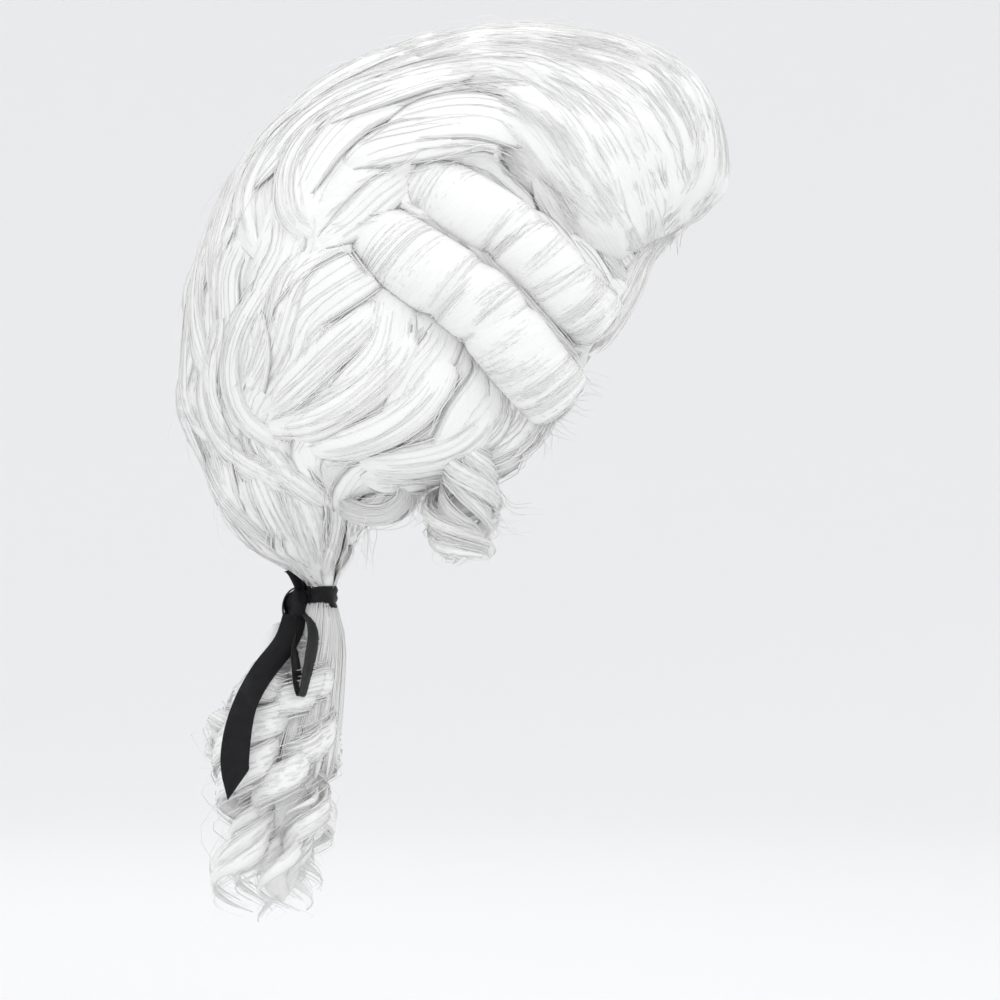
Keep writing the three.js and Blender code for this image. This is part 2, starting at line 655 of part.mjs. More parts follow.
// Ribbon knot, band, tails and loops
const stem = solidOf(new THREE.CylinderGeometry(1, 1, 3 * KNOT_HEIGHT, 16)
  .scale(BAND_RADIUS - GAP / 2, 1, BAND_RADIUS - GAP / 2)
  .rotateX(Math.PI / 2).translate(tieX, 0, tieZ));
addNode('ribbon_band', bandForm(0).subtract(knotForm(GAP)), SATIN);
addNode('ribbon_knot', knotForm(0).subtract(stem), SATIN);

const tailForm = (grow) => ribbonForm(14, (t, side, face) => {
  const tilt = along(tailRows, 'tilt', t) * THREE.MathUtils.DEG2RAD;
  const wide = side * along(tailRows, 'width', t) / 2;
  return {
    x: knotX + along(tailRows, 'x', t) + wide * Math.cos(tilt),
    y: -along(tailRows, 'out', t) + face * (RIBBON_THICKNESS / 2 + grow),
    z: knotZ - along(tailRows, 'drop', t) + wide * Math.sin(tilt),
  };
});
const loopSpot = (t) => new THREE.Vector3(
  knotX + along(loopRows, 'x', t), -along(loopRows, 'out', t), knotZ - along(loopRows, 'drop', t),
);
const loopTurn = LOOP_TURN * THREE.MathUtils.DEG2RAD;
const loopForm = (grow) => ribbonForm(16, (t, side, face) => {
  const way = loopSpot(Math.min(1, t + 0.02)).sub(loopSpot(Math.max(0, t - 0.02))).normalize();
  const across = new THREE.Vector3(Math.sin(loopTurn), Math.cos(loopTurn), 0);
  const thick = new THREE.Vector3().crossVectors(way, across).normalize();
  return loopSpot(t)
    .addScaledVector(across, side * (RIBBON_WIDTH * 0.45 + grow))
    .addScaledVector(thick, face * (RIBBON_THICKNESS / 2 + grow));
});
addPair('ribbon_tail', tailForm(0), [knotForm(GAP)], SATIN);
addPair('ribbon_loop', loopForm(0), [knotForm(GAP)], SATIN);

// Queue
let queue = levelForm(queueRows, 0, 12, 12, 0);
LOCK_ROWS.forEach((row) => {
  const curve = coil(
    tieX + row.x * QUEUE_DEPTH,
    row.out * QUEUE_BREADTH,
    tieZ - row.top * QUEUE_LENGTH,
    tieZ - row.foot * QUEUE_LENGTH,
    LOCK_COIL / 2,
    row.turns,
    row.phase,
  );
  queue = queue.add(lockForm(curve, LOCK_WIDTH / 2, 0.6, 6, Math.round(row.turns * 6)));
});
const ribbonsGrown = both(tailForm(GAP).add(loopForm(GAP)));
addNode('queue', queue.subtract(tieGrown).subtract(ribbonsGrown), WHITE_HAIR);

export default group;
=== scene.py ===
"""Powdered wig: dresses the wig's solids with hair, cap net and satin ribbon.

Lengths inside the hair code are millimetres in the wig's own frame: +X is the
front, +Y the left and +Z up, with the origin at the crown.
"""
import logging
import math
from dataclasses import dataclass, field, replace
from enum import Enum

import bpy
import numpy as np
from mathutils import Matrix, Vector
from mathutils.bvhtree import BVHTree


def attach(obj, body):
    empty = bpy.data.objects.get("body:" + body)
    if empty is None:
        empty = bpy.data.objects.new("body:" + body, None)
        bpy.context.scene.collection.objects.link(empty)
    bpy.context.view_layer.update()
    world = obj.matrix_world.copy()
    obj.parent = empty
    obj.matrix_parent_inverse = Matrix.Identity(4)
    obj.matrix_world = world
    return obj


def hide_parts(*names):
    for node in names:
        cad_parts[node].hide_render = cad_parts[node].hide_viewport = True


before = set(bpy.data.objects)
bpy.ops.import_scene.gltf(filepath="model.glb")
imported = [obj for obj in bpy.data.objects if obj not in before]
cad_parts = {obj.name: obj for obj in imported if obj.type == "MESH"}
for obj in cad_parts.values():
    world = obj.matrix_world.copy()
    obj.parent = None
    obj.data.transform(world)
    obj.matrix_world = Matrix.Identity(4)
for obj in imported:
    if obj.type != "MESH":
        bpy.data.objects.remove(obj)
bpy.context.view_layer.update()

LOG = logging.getLogger("powdered_wig")
MM = 0.001

# Form that the cap fits, and what lies on it
HEAD_LENGTH = 197.0
HEAD_BREADTH = 152.0
HEAD_HEIGHT = 250.0
CROWN_SHARE = 0.4
MIDDLE = np.array([0.0, 0.0, -CROWN_SHARE * HEAD_HEIGHT])
CAP_WALL = 2.0
SIDE_HAIR_THICKNESS = 7.0
CURL_FLATNESS = 0.78
# Where the ribbon ties the hair
TIE_X = -76.5
TIE_Z = -249.0
BAND_TOP = -241.0
BAND_INSIDE = 6.4
# Widths of the soft ridges in a bed of packed hair
RIDGE_WIDTHS = (7.0, 10.0, 15.0, 24.0)
# Section of a lock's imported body: place across in half widths, height in heaps
BODY_SECTION = np.array([
    (-1.0, 0.0), (-0.72, 0.62), (-0.26, 0.95), (0.26, 0.95),
    (0.72, 0.62), (1.0, 0.0), (0.45, -0.35), (-0.45, -0.35),
])
# Points along a lock: combed, drawn, wound on a curl, wisp, corkscrew
COMBED_POINTS = 22
SWEEP_POINTS = 26
CURL_POINTS = 30
WISP_POINTS = 20
COIL_POINTS = 120


class Side(Enum):
    """The right or left side of the wig."""

    RIGHT = -1
    LEFT = 1

    @property
    def word(self) -> str:
        """Returns: the side's word in piece names."""
        return self.name.lower()


def unit(rows: np.ndarray) -> np.ndarray:
    """Scales vectors to length one.

    Args:
        rows: vectors along the last axis.

    Returns:
        The vectors with unit length.
    """
    return rows / np.maximum(np.linalg.norm(rows, axis=-1, keepdims=True), 1e-9)


def smoothed(rows: np.ndarray, passes: int) -> np.ndarray:
    """Evens out a row of points and keeps its two ends.

    Args:
        rows: points along axis 0.
        passes: how often each point moves towards its neighbours.

    Returns:
        The evened rows.
    """
    out = rows.copy()
    for _ in range(passes):
        out[1:-1] = 0.25 * out[:-2] + 0.5 * out[1:-1] + 0.25 * out[2:]
    return out


def spline(rows: np.ndarray, count: int) -> np.ndarray:
    """Draws a smooth line through rows.

    Args:
        rows: key rows along axis 0.
        count: how many rows to return.

    Returns:
        Rows on a Catmull-Rom line through the keys.
    """
    last = len(rows) - 1
    place = np.linspace(0.0, last, count)
    first = np.minimum(place.astype(int), last - 1)
    f = (place - first)[:, None]
    p, q, r, s = (rows[np.clip(first + k, 0, last)] for k in (-1, 0, 1, 2))
    return q + 0.5 * f * (r - p + f * (2 * p - 5 * q + 4 * r - s + f * (3 * (q - r) + s - p)))


def beside(line: np.ndarray, normals: np.ndarray) -> np.ndarray:
    """Finds the way across a line on a surface.

    Args:
        line: points along the last axis but one.
        normals: normals there.

    Returns:
        Unit vectors across the line.
    """
    return unit(np.cross(unit(np.gradient(line, axis=-2)), normals))


def eased(share: np.ndarray) -> np.ndarray:
    """Turns a straight rise from 0 to 1 into a smooth one.

    Args:
        share: the straight rise.

    Returns:
        The smooth rise.
    """
    return share * share * (3 - 2 * share)


def resampled(places: np.ndarray, keys: np.ndarray, rows: np.ndarray) -> np.ndarray:
    """Reads values or points between their keys.

    Args:
        places: where to read, as shares of the whole.
        keys: the shares that the rows belong to.
        rows: one value or point for each key.

    Returns:
        The values or points at those places.
    """
    if rows.ndim == 1:
        return np.interp(places, keys, rows)
    return np.stack([np.interp(places, keys, column) for column in rows.T], axis=-1)


def side_of_head(x: np.ndarray, z: np.ndarray) -> np.ndarray:
    """Finds how far the form that the cap fits reaches to the side.

    Args:
        x: places from back to front.
        z: heights.

    Returns:
        Half the form's breadth at each place.
    """
    rise = z + CROWN_SHARE * HEAD_HEIGHT
    deep = HEAD_HEIGHT * np.where(rise > 0, CROWN_SHARE, 1 - CROWN_SHARE)
    left = 1 - (2 * x / HEAD_LENGTH) ** 2 - (rise / deep) ** 2
    return HEAD_BREADTH / 2 * np.sqrt(np.maximum(left, 0.05))


@dataclass
class Tress:
    """One lock of hair laid along a centre line.

    Attributes:
        centre: points of the centre line, root first.
        normal: directions out of the hair's surface, one for all points or each.
        half_width: half the lock's width, one for all points or each.
        thickness: how high the lock is heaped, one for all points or each.
        strands: how many strands it holds.
        radius: half a strand's width.
        tone: how light the lock is, from 0 to 1.
        ragged: share of the length over which strands start and end.
        frizz: how far strands wander sideways, in shares of the half width.
        sink: how deep both ends dive into the hair below.
        rise: how far the tip lies above the root.
        body: whether the strands lie on a solid body of packed fibre.
        layer: how far the whole lock lies above the hair under it.
        spill: how far strands spread past the lock's edges, in half widths.
    """

    centre: np.ndarray
    normal: np.ndarray
    half_width: np.ndarray | float
    thickness: np.ndarray | float
    strands: int
    radius: float = 0.45
    tone: float = 0.5
    ragged: float = 0.12
    frizz: float = 0.10
    sink: float = 1.6
    rise: float = 0.0
    body: bool = True
    layer: float = 0.0
    spill: float = 1.2

    def __post_init__(self) -> None:
        """Spreads single values over all points of the centre line."""
        count = len(self.centre)
        self.normal = np.broadcast_to(self.normal, (count, 3)).copy()
        self.half_width = np.broadcast_to(self.half_width, count).copy()
        self.thickness = np.broadcast_to(self.thickness, count).copy()


@dataclass
class Tubes:
    """Closed tubes with as many rings and corners each, gathered for a mesh.

    Attributes:
        rings: rings of points along a tube.
        corners: points round a ring.
    """

    rings: int
    corners: int
    points: list[np.ndarray] = field(default_factory=list)
    tones: list[np.ndarray] = field(default_factory=list)
    fibres: list[np.ndarray] = field(default_factory=list)

    def add(self, points: np.ndarray, tones: np.ndarray, fibres: np.ndarray) -> None:
        """Keeps some tubes.

        Args:
            points: places as (tube, ring, corner, 3).
            tones: lightness as (tube, ring, corner).
            fibres: places across and along the fibres as (tube, ring, corner, 2).
        """
        self.points.append(points.reshape(-1, 3))
        self.tones.append(np.broadcast_to(tones, points.shape[:3]).reshape(-1))
        self.fibres.append(np.broadcast_to(fibres, (*points.shape[:3], 2)).reshape(-1, 2))

    def faces(self, offset: int) -> tuple[np.ndarray, np.ndarray]:
        """Lists the corners of all side quads and end fans.

        Args:
            offset: number of the first point.

        Returns:
            Corner numbers of the quads, and of the end faces.
        """
        count = sum(len(part) for part in self.points) // (self.rings * self.corners)
        start = offset + np.arange(count) * self.rings * self.corners
        base = start[:, None, None]
        ring = (np.arange(self.rings - 1) * self.corners)[None, :, None]
        corner = np.arange(self.corners)[None, None, :]
        following = (corner + 1) % self.corners
        near = base + ring
        far = near + self.corners
        quads = np.stack([near + corner, near + following, far + following, far + corner], axis=-1).reshape(-1)
        around = np.arange(self.corners)
        first = start[:, None] + around[::-1][None, :]
        last = start[:, None] + (self.rings - 1) * self.corners + around[None, :]
        return quads, np.concatenate([first, last], axis=1).reshape(-1)


@dataclass
class HairMesh:
    """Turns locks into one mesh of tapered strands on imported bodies.

    Attributes:
        rings: how many rings of points a strand has.
        rng: the source of chance, seeded by the piece.
        body_rings: how many rings a lock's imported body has.
        gathered: whether the hair is drawn into the ribbon's band.
    """

    rings: int
    rng: np.random.Generator
    body_rings: int = 16
    gathered: bool = False

    def __post_init__(self) -> None:
        """Starts the two kinds of tube empty."""
        self.strands = Tubes(self.rings, 3)
        self.bodies = Tubes(self.body_rings, 8)

    def drawn_in(self, points: np.ndarray) -> np.ndarray:
        """Draws hair near the tie into the ribbon's band.

        Args:
            points: places along the last axis.

        Returns:
            The places, moved where they would lie outside the band.
        """
        if not self.gathered:
            return points
        aside = points[..., :2] - np.array([TIE_X, 0.0])
        away = np.linalg.norm(aside, axis=-1)
        limit = BAND_INSIDE + 1.15 * np.maximum(points[..., 2] - BAND_TOP, 0.0)
        limit = limit + 0.08 * np.maximum(points[..., 2] - BAND_TOP, 0.0) ** 2
        share = np.where(away > limit, limit / np.maximum(away, 1e-6), 1.0)
        out = points.copy()
        out[..., :2] = np.array([TIE_X, 0.0]) + aside * share[..., None]
        return out

    def add_body(self, tress: Tress) -> None:
        """Adds a lock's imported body, rounded above and flat below.

        Args:
            tress: the lock.
        """
        keys = np.linspace(0.0, 1.0, len(tress.centre))
        t = np.linspace(0.0, 1.0, self.body_rings)
        lines = (tress.centre, tress.normal, beside(tress.centre, tress.normal), tress.half_width, tress.thickness)
        centre, normal, across, half, heap = (resampled(t, keys, rows) for rows in lines)
        taper = np.clip(np.minimum(t / 0.16, (1 - t) / 0.30), 0.06, 1.0) ** 0.7
        half, heap = half * taper, heap * taper
        dive = eased(np.clip(t / 0.16, 0, 1) * np.clip((1 - t) / 0.16, 0, 1))
        side, dome = BODY_SECTION.T
        height = (
            dome[None, :] * heap[:, None]
            - (tress.sink * (1 - dive))[:, None]
            + ((tress.layer + tress.rise * (t - 0.5)) * dive)[:, None]
        )
        points = (
            centre[:, None, :]
            + (side[None, :] * half[:, None])[..., None] * across[:, None, :]
            + height[..., None] * normal[:, None, :]
        )
        length = np.linalg.norm(np.diff(tress.centre, axis=0), axis=1).sum()
        wide = float(np.mean(tress.half_width))
        offset = self.rng.uniform(0, 900, 2)
        fibres = np.stack([
            np.broadcast_to(side[None, :] * wide, points.shape[:2]) + offset[0],
            np.broadcast_to((t * length)[:, None], points.shape[:2]) + offset[1],
        ], axis=-1)
        points = self.drawn_in(points)
        self.bodies.add(points[None, :, ::-1], np.array(tress.tone), fibres[None, :, ::-1])

    def add(self, tress: Tress) -> None:
        """Adds a lock's strands.

        Args:
            tress: the lock to lay down.
        """
        if tress.body:
            self.add_body(tress)
        rng, count, rings = self.rng, tress.strands, self.rings
        keys = np.linspace(0.0, 1.0, len(tress.centre))
        begin = rng.uniform(0.0, tress.ragged, (count, 1))
        end = 1.0 - rng.uniform(0.0, tress.ragged, (count, 1))
        own = np.linspace(0.0, 1.0, rings)[None, :]
        t = begin + (end - begin) * own
        lines = (tress.centre, tress.normal, beside(tress.centre, tress.normal), tress.half_width, tress.thickness)
        centre, normal, flat, half, heap = (resampled(t, keys, rows) for rows in lines)

        place = np.linspace(-tress.spill, tress.spill, count)[:, None]
        place = place + rng.normal(0.0, 0.12, (count, 1))
        sway = np.sin(2 * np.pi * (rng.uniform(0.5, 1.6, (count, 1)) * t + rng.uniform(0, 1, (count, 1))))
        side = place + tress.frizz * sway * rng.uniform(0.2, 1.0, (count, 1))
        dome = np.sqrt(np.maximum(1.0 - 0.85 * place**2, 0.0))
        lift = (1.0 if tress.body else rng.uniform(0.25, 1.0, (count, 1))) * dome
        proud = tress.radius * rng.uniform(-0.3, 1.1, (count, 1)) if tress.body else 0.0
        wander = np.sin(2 * np.pi * (rng.uniform(0.4, 1.2, (count, 1)) * t + rng.uniform(0, 1, (count, 1))))
        dive = eased(np.clip(own / 0.14, 0, 1) * np.clip((1 - own) / 0.2, 0, 1))
        height = (
            (heap * (lift + 0.04 * wander) + proud) * dive
            - tress.sink * (1 - dive)
            + (tress.layer + tress.rise * (t - 0.5)) * dive
        )
        spot = self.drawn_in(centre + (side * half)[..., None] * flat + height[..., None] * normal)
        way = unit(np.gradient(spot, axis=1))
        flat = unit(flat - way * np.sum(flat * way, axis=-1, keepdims=True))
        over = np.cross(way, flat)
        roll = rng.uniform(-0.7, 0.7, (count, 1, 1))
        flat, over = flat * np.cos(roll) + over * np.sin(roll), over * np.cos(roll) - flat * np.sin(roll)
        taper = np.clip(np.minimum(own / 0.10, (1 - own) / 0.28), 0.10, 1.0) ** 0.6
        size = (tress.radius * rng.uniform(0.65, 1.35, (count, 1)) * taper)[..., None]
        ring = np.stack([
            spot - size * flat - 0.42 * size * over,
            spot + size * flat - 0.42 * size * over,
            spot + 0.84 * size * over,
        ], axis=2)
        tone = np.clip(tress.tone + rng.normal(0.0, 0.14, (count, 1, 1)), 0.0, 1.0)
        length = np.linalg.norm(np.diff(tress.centre, axis=0), axis=1).sum()
        aside = np.broadcast_to(rng.uniform(0, 900, (count, 1)), (count, rings))
        self.strands.add(ring, tone, np.stack([aside, t * length], axis=-1)[:, :, None, :])

    def build(self, name: str, material: bpy.types.Material) -> bpy.types.Object:
        """Makes the mesh object of all strands.

        Args:
            name: the object's name.
            material: the hair's material.

        Returns:
            The new object.
        """
        kinds = [kind for kind in (self.strands, self.bodies) if kind.points]
        points = np.concatenate([part for kind in kinds for part in kind.points])
        loops, sizes, offset = [], [], 0
        for kind in kinds:
            quads, ends = kind.faces(offset)
            loops += [quads, ends]
            sizes += [np.full(len(quads) // 4, 4), np.full(len(ends) // kind.corners, kind.corners)]
            offset += sum(len(part) for part in kind.points)
        loops = np.concatenate(loops).astype(np.int32)
        sizes = np.concatenate(sizes).astype(np.int32)
        starts = np.concatenate([[0], np.cumsum(sizes)[:-1]]).astype(np.int32)
        mesh = bpy.data.meshes.new(name)
        mesh.vertices.add(len(points))
        mesh.vertices.foreach_set("co", (points * MM).astype(np.float32).ravel())
        mesh.loops.add(len(loops))
        mesh.loops.foreach_set("vertex_index", loops)
        mesh.polygons.add(len(sizes))
        mesh.polygons.foreach_set("loop_start", starts)
        mesh.polygons.foreach_set("loop_total", sizes)
        mesh.polygons.foreach_set("use_smooth", np.ones(len(sizes), bool))
        mesh.update(calc_edges=True)
        tone = mesh.attributes.new("tone", "FLOAT", "POINT")
        tones = np.concatenate([part for kind in kinds for part in kind.tones])
        tone.data.foreach_set("value", tones.astype(np.float32))
        fibres = np.concatenate([part for kind in kinds for part in kind.fibres])
        lay = mesh.uv_layers.new(name="fibre")
        lay.data.foreach_set("uv", fibres[loops].astype(np.float32).ravel())
        mesh.materials.append(material)
        return link_new(name, mesh)


def feed(tree: bpy.types.NodeTree, node: bpy.types.Node, inputs: dict[str | int, object]) -> None:
    """Links or sets the inputs of a node.

    Args:
        tree: the nodes it is one of.
        node: the node.
        inputs: the socket or the constant that each input gets.
    """
    for name, value in inputs.items():
        if isinstance(value, bpy.types.NodeSocket):
            tree.links.new(value, node.inputs[name])
        else:
            node.inputs[name].default_value = value


def add_node(tree: bpy.types.NodeTree, kind: str, inputs: dict[str | int, object]) -> bpy.types.Node:
    """Adds a node.

    Args:
        tree: the nodes it joins.
        kind: its type.
        inputs: the socket or the constant that each input gets.

    Returns:
        The node.
    """
    node = tree.nodes.new(kind)
    feed(tree, node, inputs)
    return node


def add_maths(tree: bpy.types.NodeTree, operation: str, *values: object, clamp: bool = False) -> bpy.types.NodeSocket:
    """Adds a sum.

    Args:
        tree: the nodes it joins.
        operation: what it works out.
        values: sockets or constants.
        clamp: whether the result is kept between 0 and 1.

    Returns:
        The result's socket.
    """
    node = add_node(tree, "ShaderNodeMath", dict(enumerate(values)))
    node.operation = operation
    node.use_clamp = clamp
    return node.outputs[0]


def add_ramp(
    tree: bpy.types.NodeTree,
    share: bpy.types.NodeSocket,
    colours: tuple[tuple[float, float, float], ...],
    places: tuple[float, float] = (0.0, 1.0),
) -> bpy.types.NodeSocket:
    """Adds a blend from one colour to another.

    Args:
        tree: the nodes it joins.
        share: what drives it.
        colours: the two colours.
        places: where each colour is reached.

    Returns:
        The colour's socket.
    """
    ramp = add_node(tree, "ShaderNodeValToRGB", {"Fac": share})
    for number in (0, 1):
        ramp.color_ramp.elements[number].color = (*colours[number], 1)
        ramp.color_ramp.elements[number].position = places[number]
    return ramp.outputs["Color"]


def add_bump(
    tree: bpy.types.NodeTree, height: bpy.types.NodeSocket, distance: float, strength: float
) -> bpy.types.NodeSocket:
    """Adds fine relief.

    Args:
        tree: the nodes it joins.
        height: the relief.
        distance: its depth in metres.
        strength: how much of it shows.

    Returns:
        The normal's socket.
    """
    inputs = {"Height": height, "Distance": distance, "Strength": strength}
    return add_node(tree, "ShaderNodeBump", inputs).outputs["Normal"]


def fibre_places(tree: bpy.types.NodeTree) -> bpy.types.NodeSocket:
    """Adds the places across and along the fibres.

    Args:
        tree: the nodes they join.

    Returns:
        The places' socket.
    """
    lay = tree.nodes.new("ShaderNodeUVMap")
    lay.uv_map = "fibre"
    return lay.outputs["UV"]


def node_group(
    name: str, inputs: dict[str, str], outputs: tuple[str, ...]
) -> tuple[bpy.types.NodeTree, bpy.types.Node, bpy.types.Node]:
    """Starts a node group.

    Args:
        name: its name.
        inputs: name and socket type of each input.
        outputs: names of its values.

    Returns:
        The group, its input node and its output node.
    """
    group = bpy.data.node_groups.new(name, "ShaderNodeTree")
    for title, kind in inputs.items():
        group.interface.new_socket(title, in_out="INPUT", socket_type=kind)
    for title in outputs:
        group.interface.new_socket(title, in_out="OUTPUT", socket_type="NodeSocketFloat")
    return group, group.nodes.new("NodeGroupInput"), group.nodes.new("NodeGroupOutput")


def fibre_streaks() -> bpy.types.NodeTree:
    """Builds the streaks of fine fibre that run along a lock.

    Returns:
        A node group with a Vector in, and Fine and Broad values out.
    """
    group, start, finish = node_group("fibre_streaks", {"Vector": "NodeSocketVector"}, ("Fine", "Broad"))
    for name, across, along in (("Fine", 1.25, 0.022), ("Broad", 0.20, 0.008)):
        stretch = add_node(
            group, "ShaderNodeMapping", {"Vector": start.outputs["Vector"], "Scale": (across, along, 1.0)}
        )
        noise = add_node(group, "ShaderNodeTexNoise", {
            "Vector": stretch.outputs["Vector"], "Scale": 1.0, "Detail": 3.0, "Roughness": 0.6,
        })
        group.links.new(noise.outputs["Fac"], finish.inputs[name])
    return group


@dataclass(frozen=True)
class HairFinish:
    """White glossy fibre.

    Attributes:
        shade: colour of the darkest strands, and of the painted shade in the grooves between fibres.
        light: colour of the lightest strands.
        roughness: how matte the fibre is.
    """

    shade: tuple[float, float, float] = (0.86, 0.86, 0.855)
    light: tuple[float, float, float] = (0.94, 0.94, 0.93)
    roughness: float = 0.44

    def material(self, name: str) -> bpy.types.Material:
        """Makes the fibre's material.

        Args:
            name: the material's name.

        Returns:
            The material.
        """
        material = bpy.data.materials.new(name)
        material.use_nodes = True
        tree = material.node_tree
        tone = tree.nodes.new("ShaderNodeAttribute")
        tone.attribute_name = "tone"
        streaks = tree.nodes.new("ShaderNodeGroup")
        streaks.node_tree = fibre_streaks()
        feed(tree, streaks, {"Vector": fibre_places(tree)})
        # The streak relief darkens the colour too: painted shade in the grooves between fibres, added to each strand's
        # random tone.
        relief = add_maths(tree, "ADD", streaks.outputs["Fine"], streaks.outputs["Broad"])
        depth = add_maths(tree, "MULTIPLY_ADD", relief, 1.1, -1.1)
        light = add_maths(tree, "ADD", tone.outputs["Fac"], depth, clamp=True)
        feed(tree, tree.nodes["Principled BSDF"], {
            "Base Color": add_ramp(tree, light, (self.shade, self.light)),
            "Normal": add_bump(tree, relief, 0.0012, 0.4),
            "Roughness": self.roughness,
            "IOR": 1.52,
            "Sheen Weight": 0.25,
            "Sheen Roughness": 0.4,
        })
        return material


def thread_weave() -> bpy.types.NodeTree:
    """Builds crossing threads for woven or knotted cloth.

    Returns:
        A node group with a Vector and a Size in, and two values out: the threads, and soft patches for painted sheen
        and painted fold shade.
    """
    sockets = {"Vector": "NodeSocketVector", "Size": "NodeSocketFloat"}
    group, start, finish = node_group("thread_weave", sockets, ("Threads", "Wear"))
    size = group.nodes.new("ShaderNodeVectorMath")
    size.operation = "SCALE"
    feed(group, size, {0: start.outputs["Vector"], "Scale": start.outputs["Size"]})
    waves = []
    for direction in ("X", "Y"):
        wave = add_node(group, "ShaderNodeTexWave", {"Vector": size.outputs[0], "Scale": 1.0})
        wave.bands_direction = direction
        waves.append(wave.outputs["Fac"])
    # Soft patches for the satin's painted sheen and painted fold shade
    sheen_cloud = add_node(group, "ShaderNodeTexNoise", {"Vector": size.outputs[0], "Scale": 0.08})
    feed(group, finish, {"Threads": add_maths(group, "MULTIPLY", *waves), "Wear": sheen_cloud.outputs["Fac"]})
    return group


def weave_node(tree: bpy.types.NodeTree, size: float, vector: bpy.types.NodeSocket) -> bpy.types.Node:
    """Places the thread group in a material.

    Args:
        tree: the material's nodes.
        size: threads to a length of the vector.
        vector: where the pattern is read.

    Returns:
        The placed group.
    """
    node = tree.nodes.new("ShaderNodeGroup")
    node.node_tree = bpy.data.node_groups.get("thread_weave") or thread_weave()
    feed(tree, node, {"Size": size, "Vector": vector})
    return node


@dataclass(frozen=True)
class SatinFinish:
    """Black satin ribbon.

    Attributes:
        dark: painted shade of the folds, laid in soft random patches.
        light: painted sheen where the threads lie up, laid in the same patches.
        roughness: how matte the satin is.
        threads: threads to a millimetre.
    """

    dark: tuple[float, float, float] = (0.003, 0.003, 0.004)
    light: tuple[float, float, float] = (0.009, 0.009, 0.011)
    roughness: float = 0.30
    threads: float = 2.2

    def material(self, name: str) -> bpy.types.Material:
        """Makes the satin's material.

        Args:
            name: the material's name.

        Returns:
            The material.
        """
        material = bpy.data.materials.new(name)
        material.use_nodes = True
        tree = material.node_tree
        weave = weave_node(tree, self.threads, fibre_places(tree))
        feed(tree, tree.nodes["Principled BSDF"], {
            # Painted sheen and painted fold shade, in soft patches across the ribbon
            "Base Color": add_ramp(tree, weave.outputs["Wear"], (self.dark, self.light), (0.25, 0.8)),
            "Normal": add_bump(tree, weave.outputs["Threads"], 0.00015, 0.5),
            "Roughness": self.roughness,
            "Specular IOR Level": 0.2,
            "Sheen Weight": 0.02,
        })
        return material


@dataclass(frozen=True)
class NetFinish:
    """Beige cap net with rows of white weft.

    Attributes:
        net: colour of the net.
        weft: colour of the rows of hair roots.
        rows: how close the rows are, to a metre.
        threads: threads of the net to a metre.
    """

    net: tuple[float, float, float] = (0.74, 0.68, 0.60)
    weft: tuple[float, float, float] = (0.86, 0.85, 0.82)
    rows: float = 34.0
    threads: float = 620.0

    def material(self, name: str) -> bpy.types.Material:
        """Makes the net's material.

        Args:
            name: the material's name.

        Returns:
            The material.
        """
        material = bpy.data.materials.new(name)
        material.use_nodes = True
        tree = material.node_tree
        where = tree.nodes.new("ShaderNodeTexCoord").outputs["Object"]
        weave = weave_node(tree, self.threads, where)
        rows = add_node(tree, "ShaderNodeTexWave", {"Vector": where, "Scale": self.rows, "Distortion": 0.6})
        rows.bands_direction = "Z"
        height = add_maths(tree, "ADD", rows.outputs["Fac"], weave.outputs["Threads"])
        feed(tree, tree.nodes["Principled BSDF"], {
            "Base Color": add_ramp(tree, rows.outputs["Fac"], (self.net, self.weft), (0.45, 0.85)),
            "Normal": add_bump(tree, height, 0.0007, 0.8),
            "Roughness": 0.85,
            "Sheen Weight": 0.2,
        })
        return material


def report(piece: bpy.types.Object) -> None:
    """Logs a finished piece with its number of triangles.

    Args:
        piece: the piece.
    """
    sizes = np.zeros(len(piece.data.polygons), np.int32)
    piece.data.polygons.foreach_get("loop_total", sizes)
    LOG.info("%s: %d triangles", piece.name, int((sizes - 2).sum()))


def hand_over(piece: bpy.types.Object, node: str) -> bpy.types.Object:
    """Hands a finished piece over to its solid's place.

    Args:
        piece: the piece.
        node: the solid it stands for.

    Returns:
        The piece.
    """
    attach(piece, "root")
    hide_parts(node)
    report(piece)
    return piece


def link_new(name: str, data: bpy.types.ID) -> bpy.types.Object:
    """Puts a new object in the scene.

    Args:
        name: the object's name.
        data: its mesh, lamp or camera.

    Returns:
        The object.
    """
    made = bpy.data.objects.new(name, data)
    bpy.context.scene.collection.objects.link(made)
    return made


def select_only(*pieces: bpy.types.Object) -> None:
    """Selects some objects alone and makes the first of them active.

    Args:
        pieces: the objects, or none to select nothing.
    """
    for other in bpy.context.selected_objects:
        other.select_set(False)
    for piece in pieces:
        piece.select_set(True)
    if pieces:
        bpy.context.view_layer.objects.active = pieces[0]


def join(*pieces: bpy.types.Object) -> bpy.types.Object:
    """Joins objects into the first.

    Args:
        pieces: the objects.

    Returns:
        The first object with the others' meshes.
    """
    select_only(*pieces)
    bpy.ops.object.join()
    return pieces[0]


def mesh_arrays(piece: bpy.types.Object) -> tuple[np.ndarray, list[tuple[int, ...]]]:
    """Reads an object's points and faces.

    Args:
        piece: a mesh object at the origin.

    Returns:
        The points in millimetres and the faces.
    """
    points = np.zeros(len(piece.data.vertices) * 3, np.float32)
    piece.data.vertices.foreach_get("co", points)
    return points.reshape(-1, 3) / MM, [tuple(face.vertices) for face in piece.data.polygons]


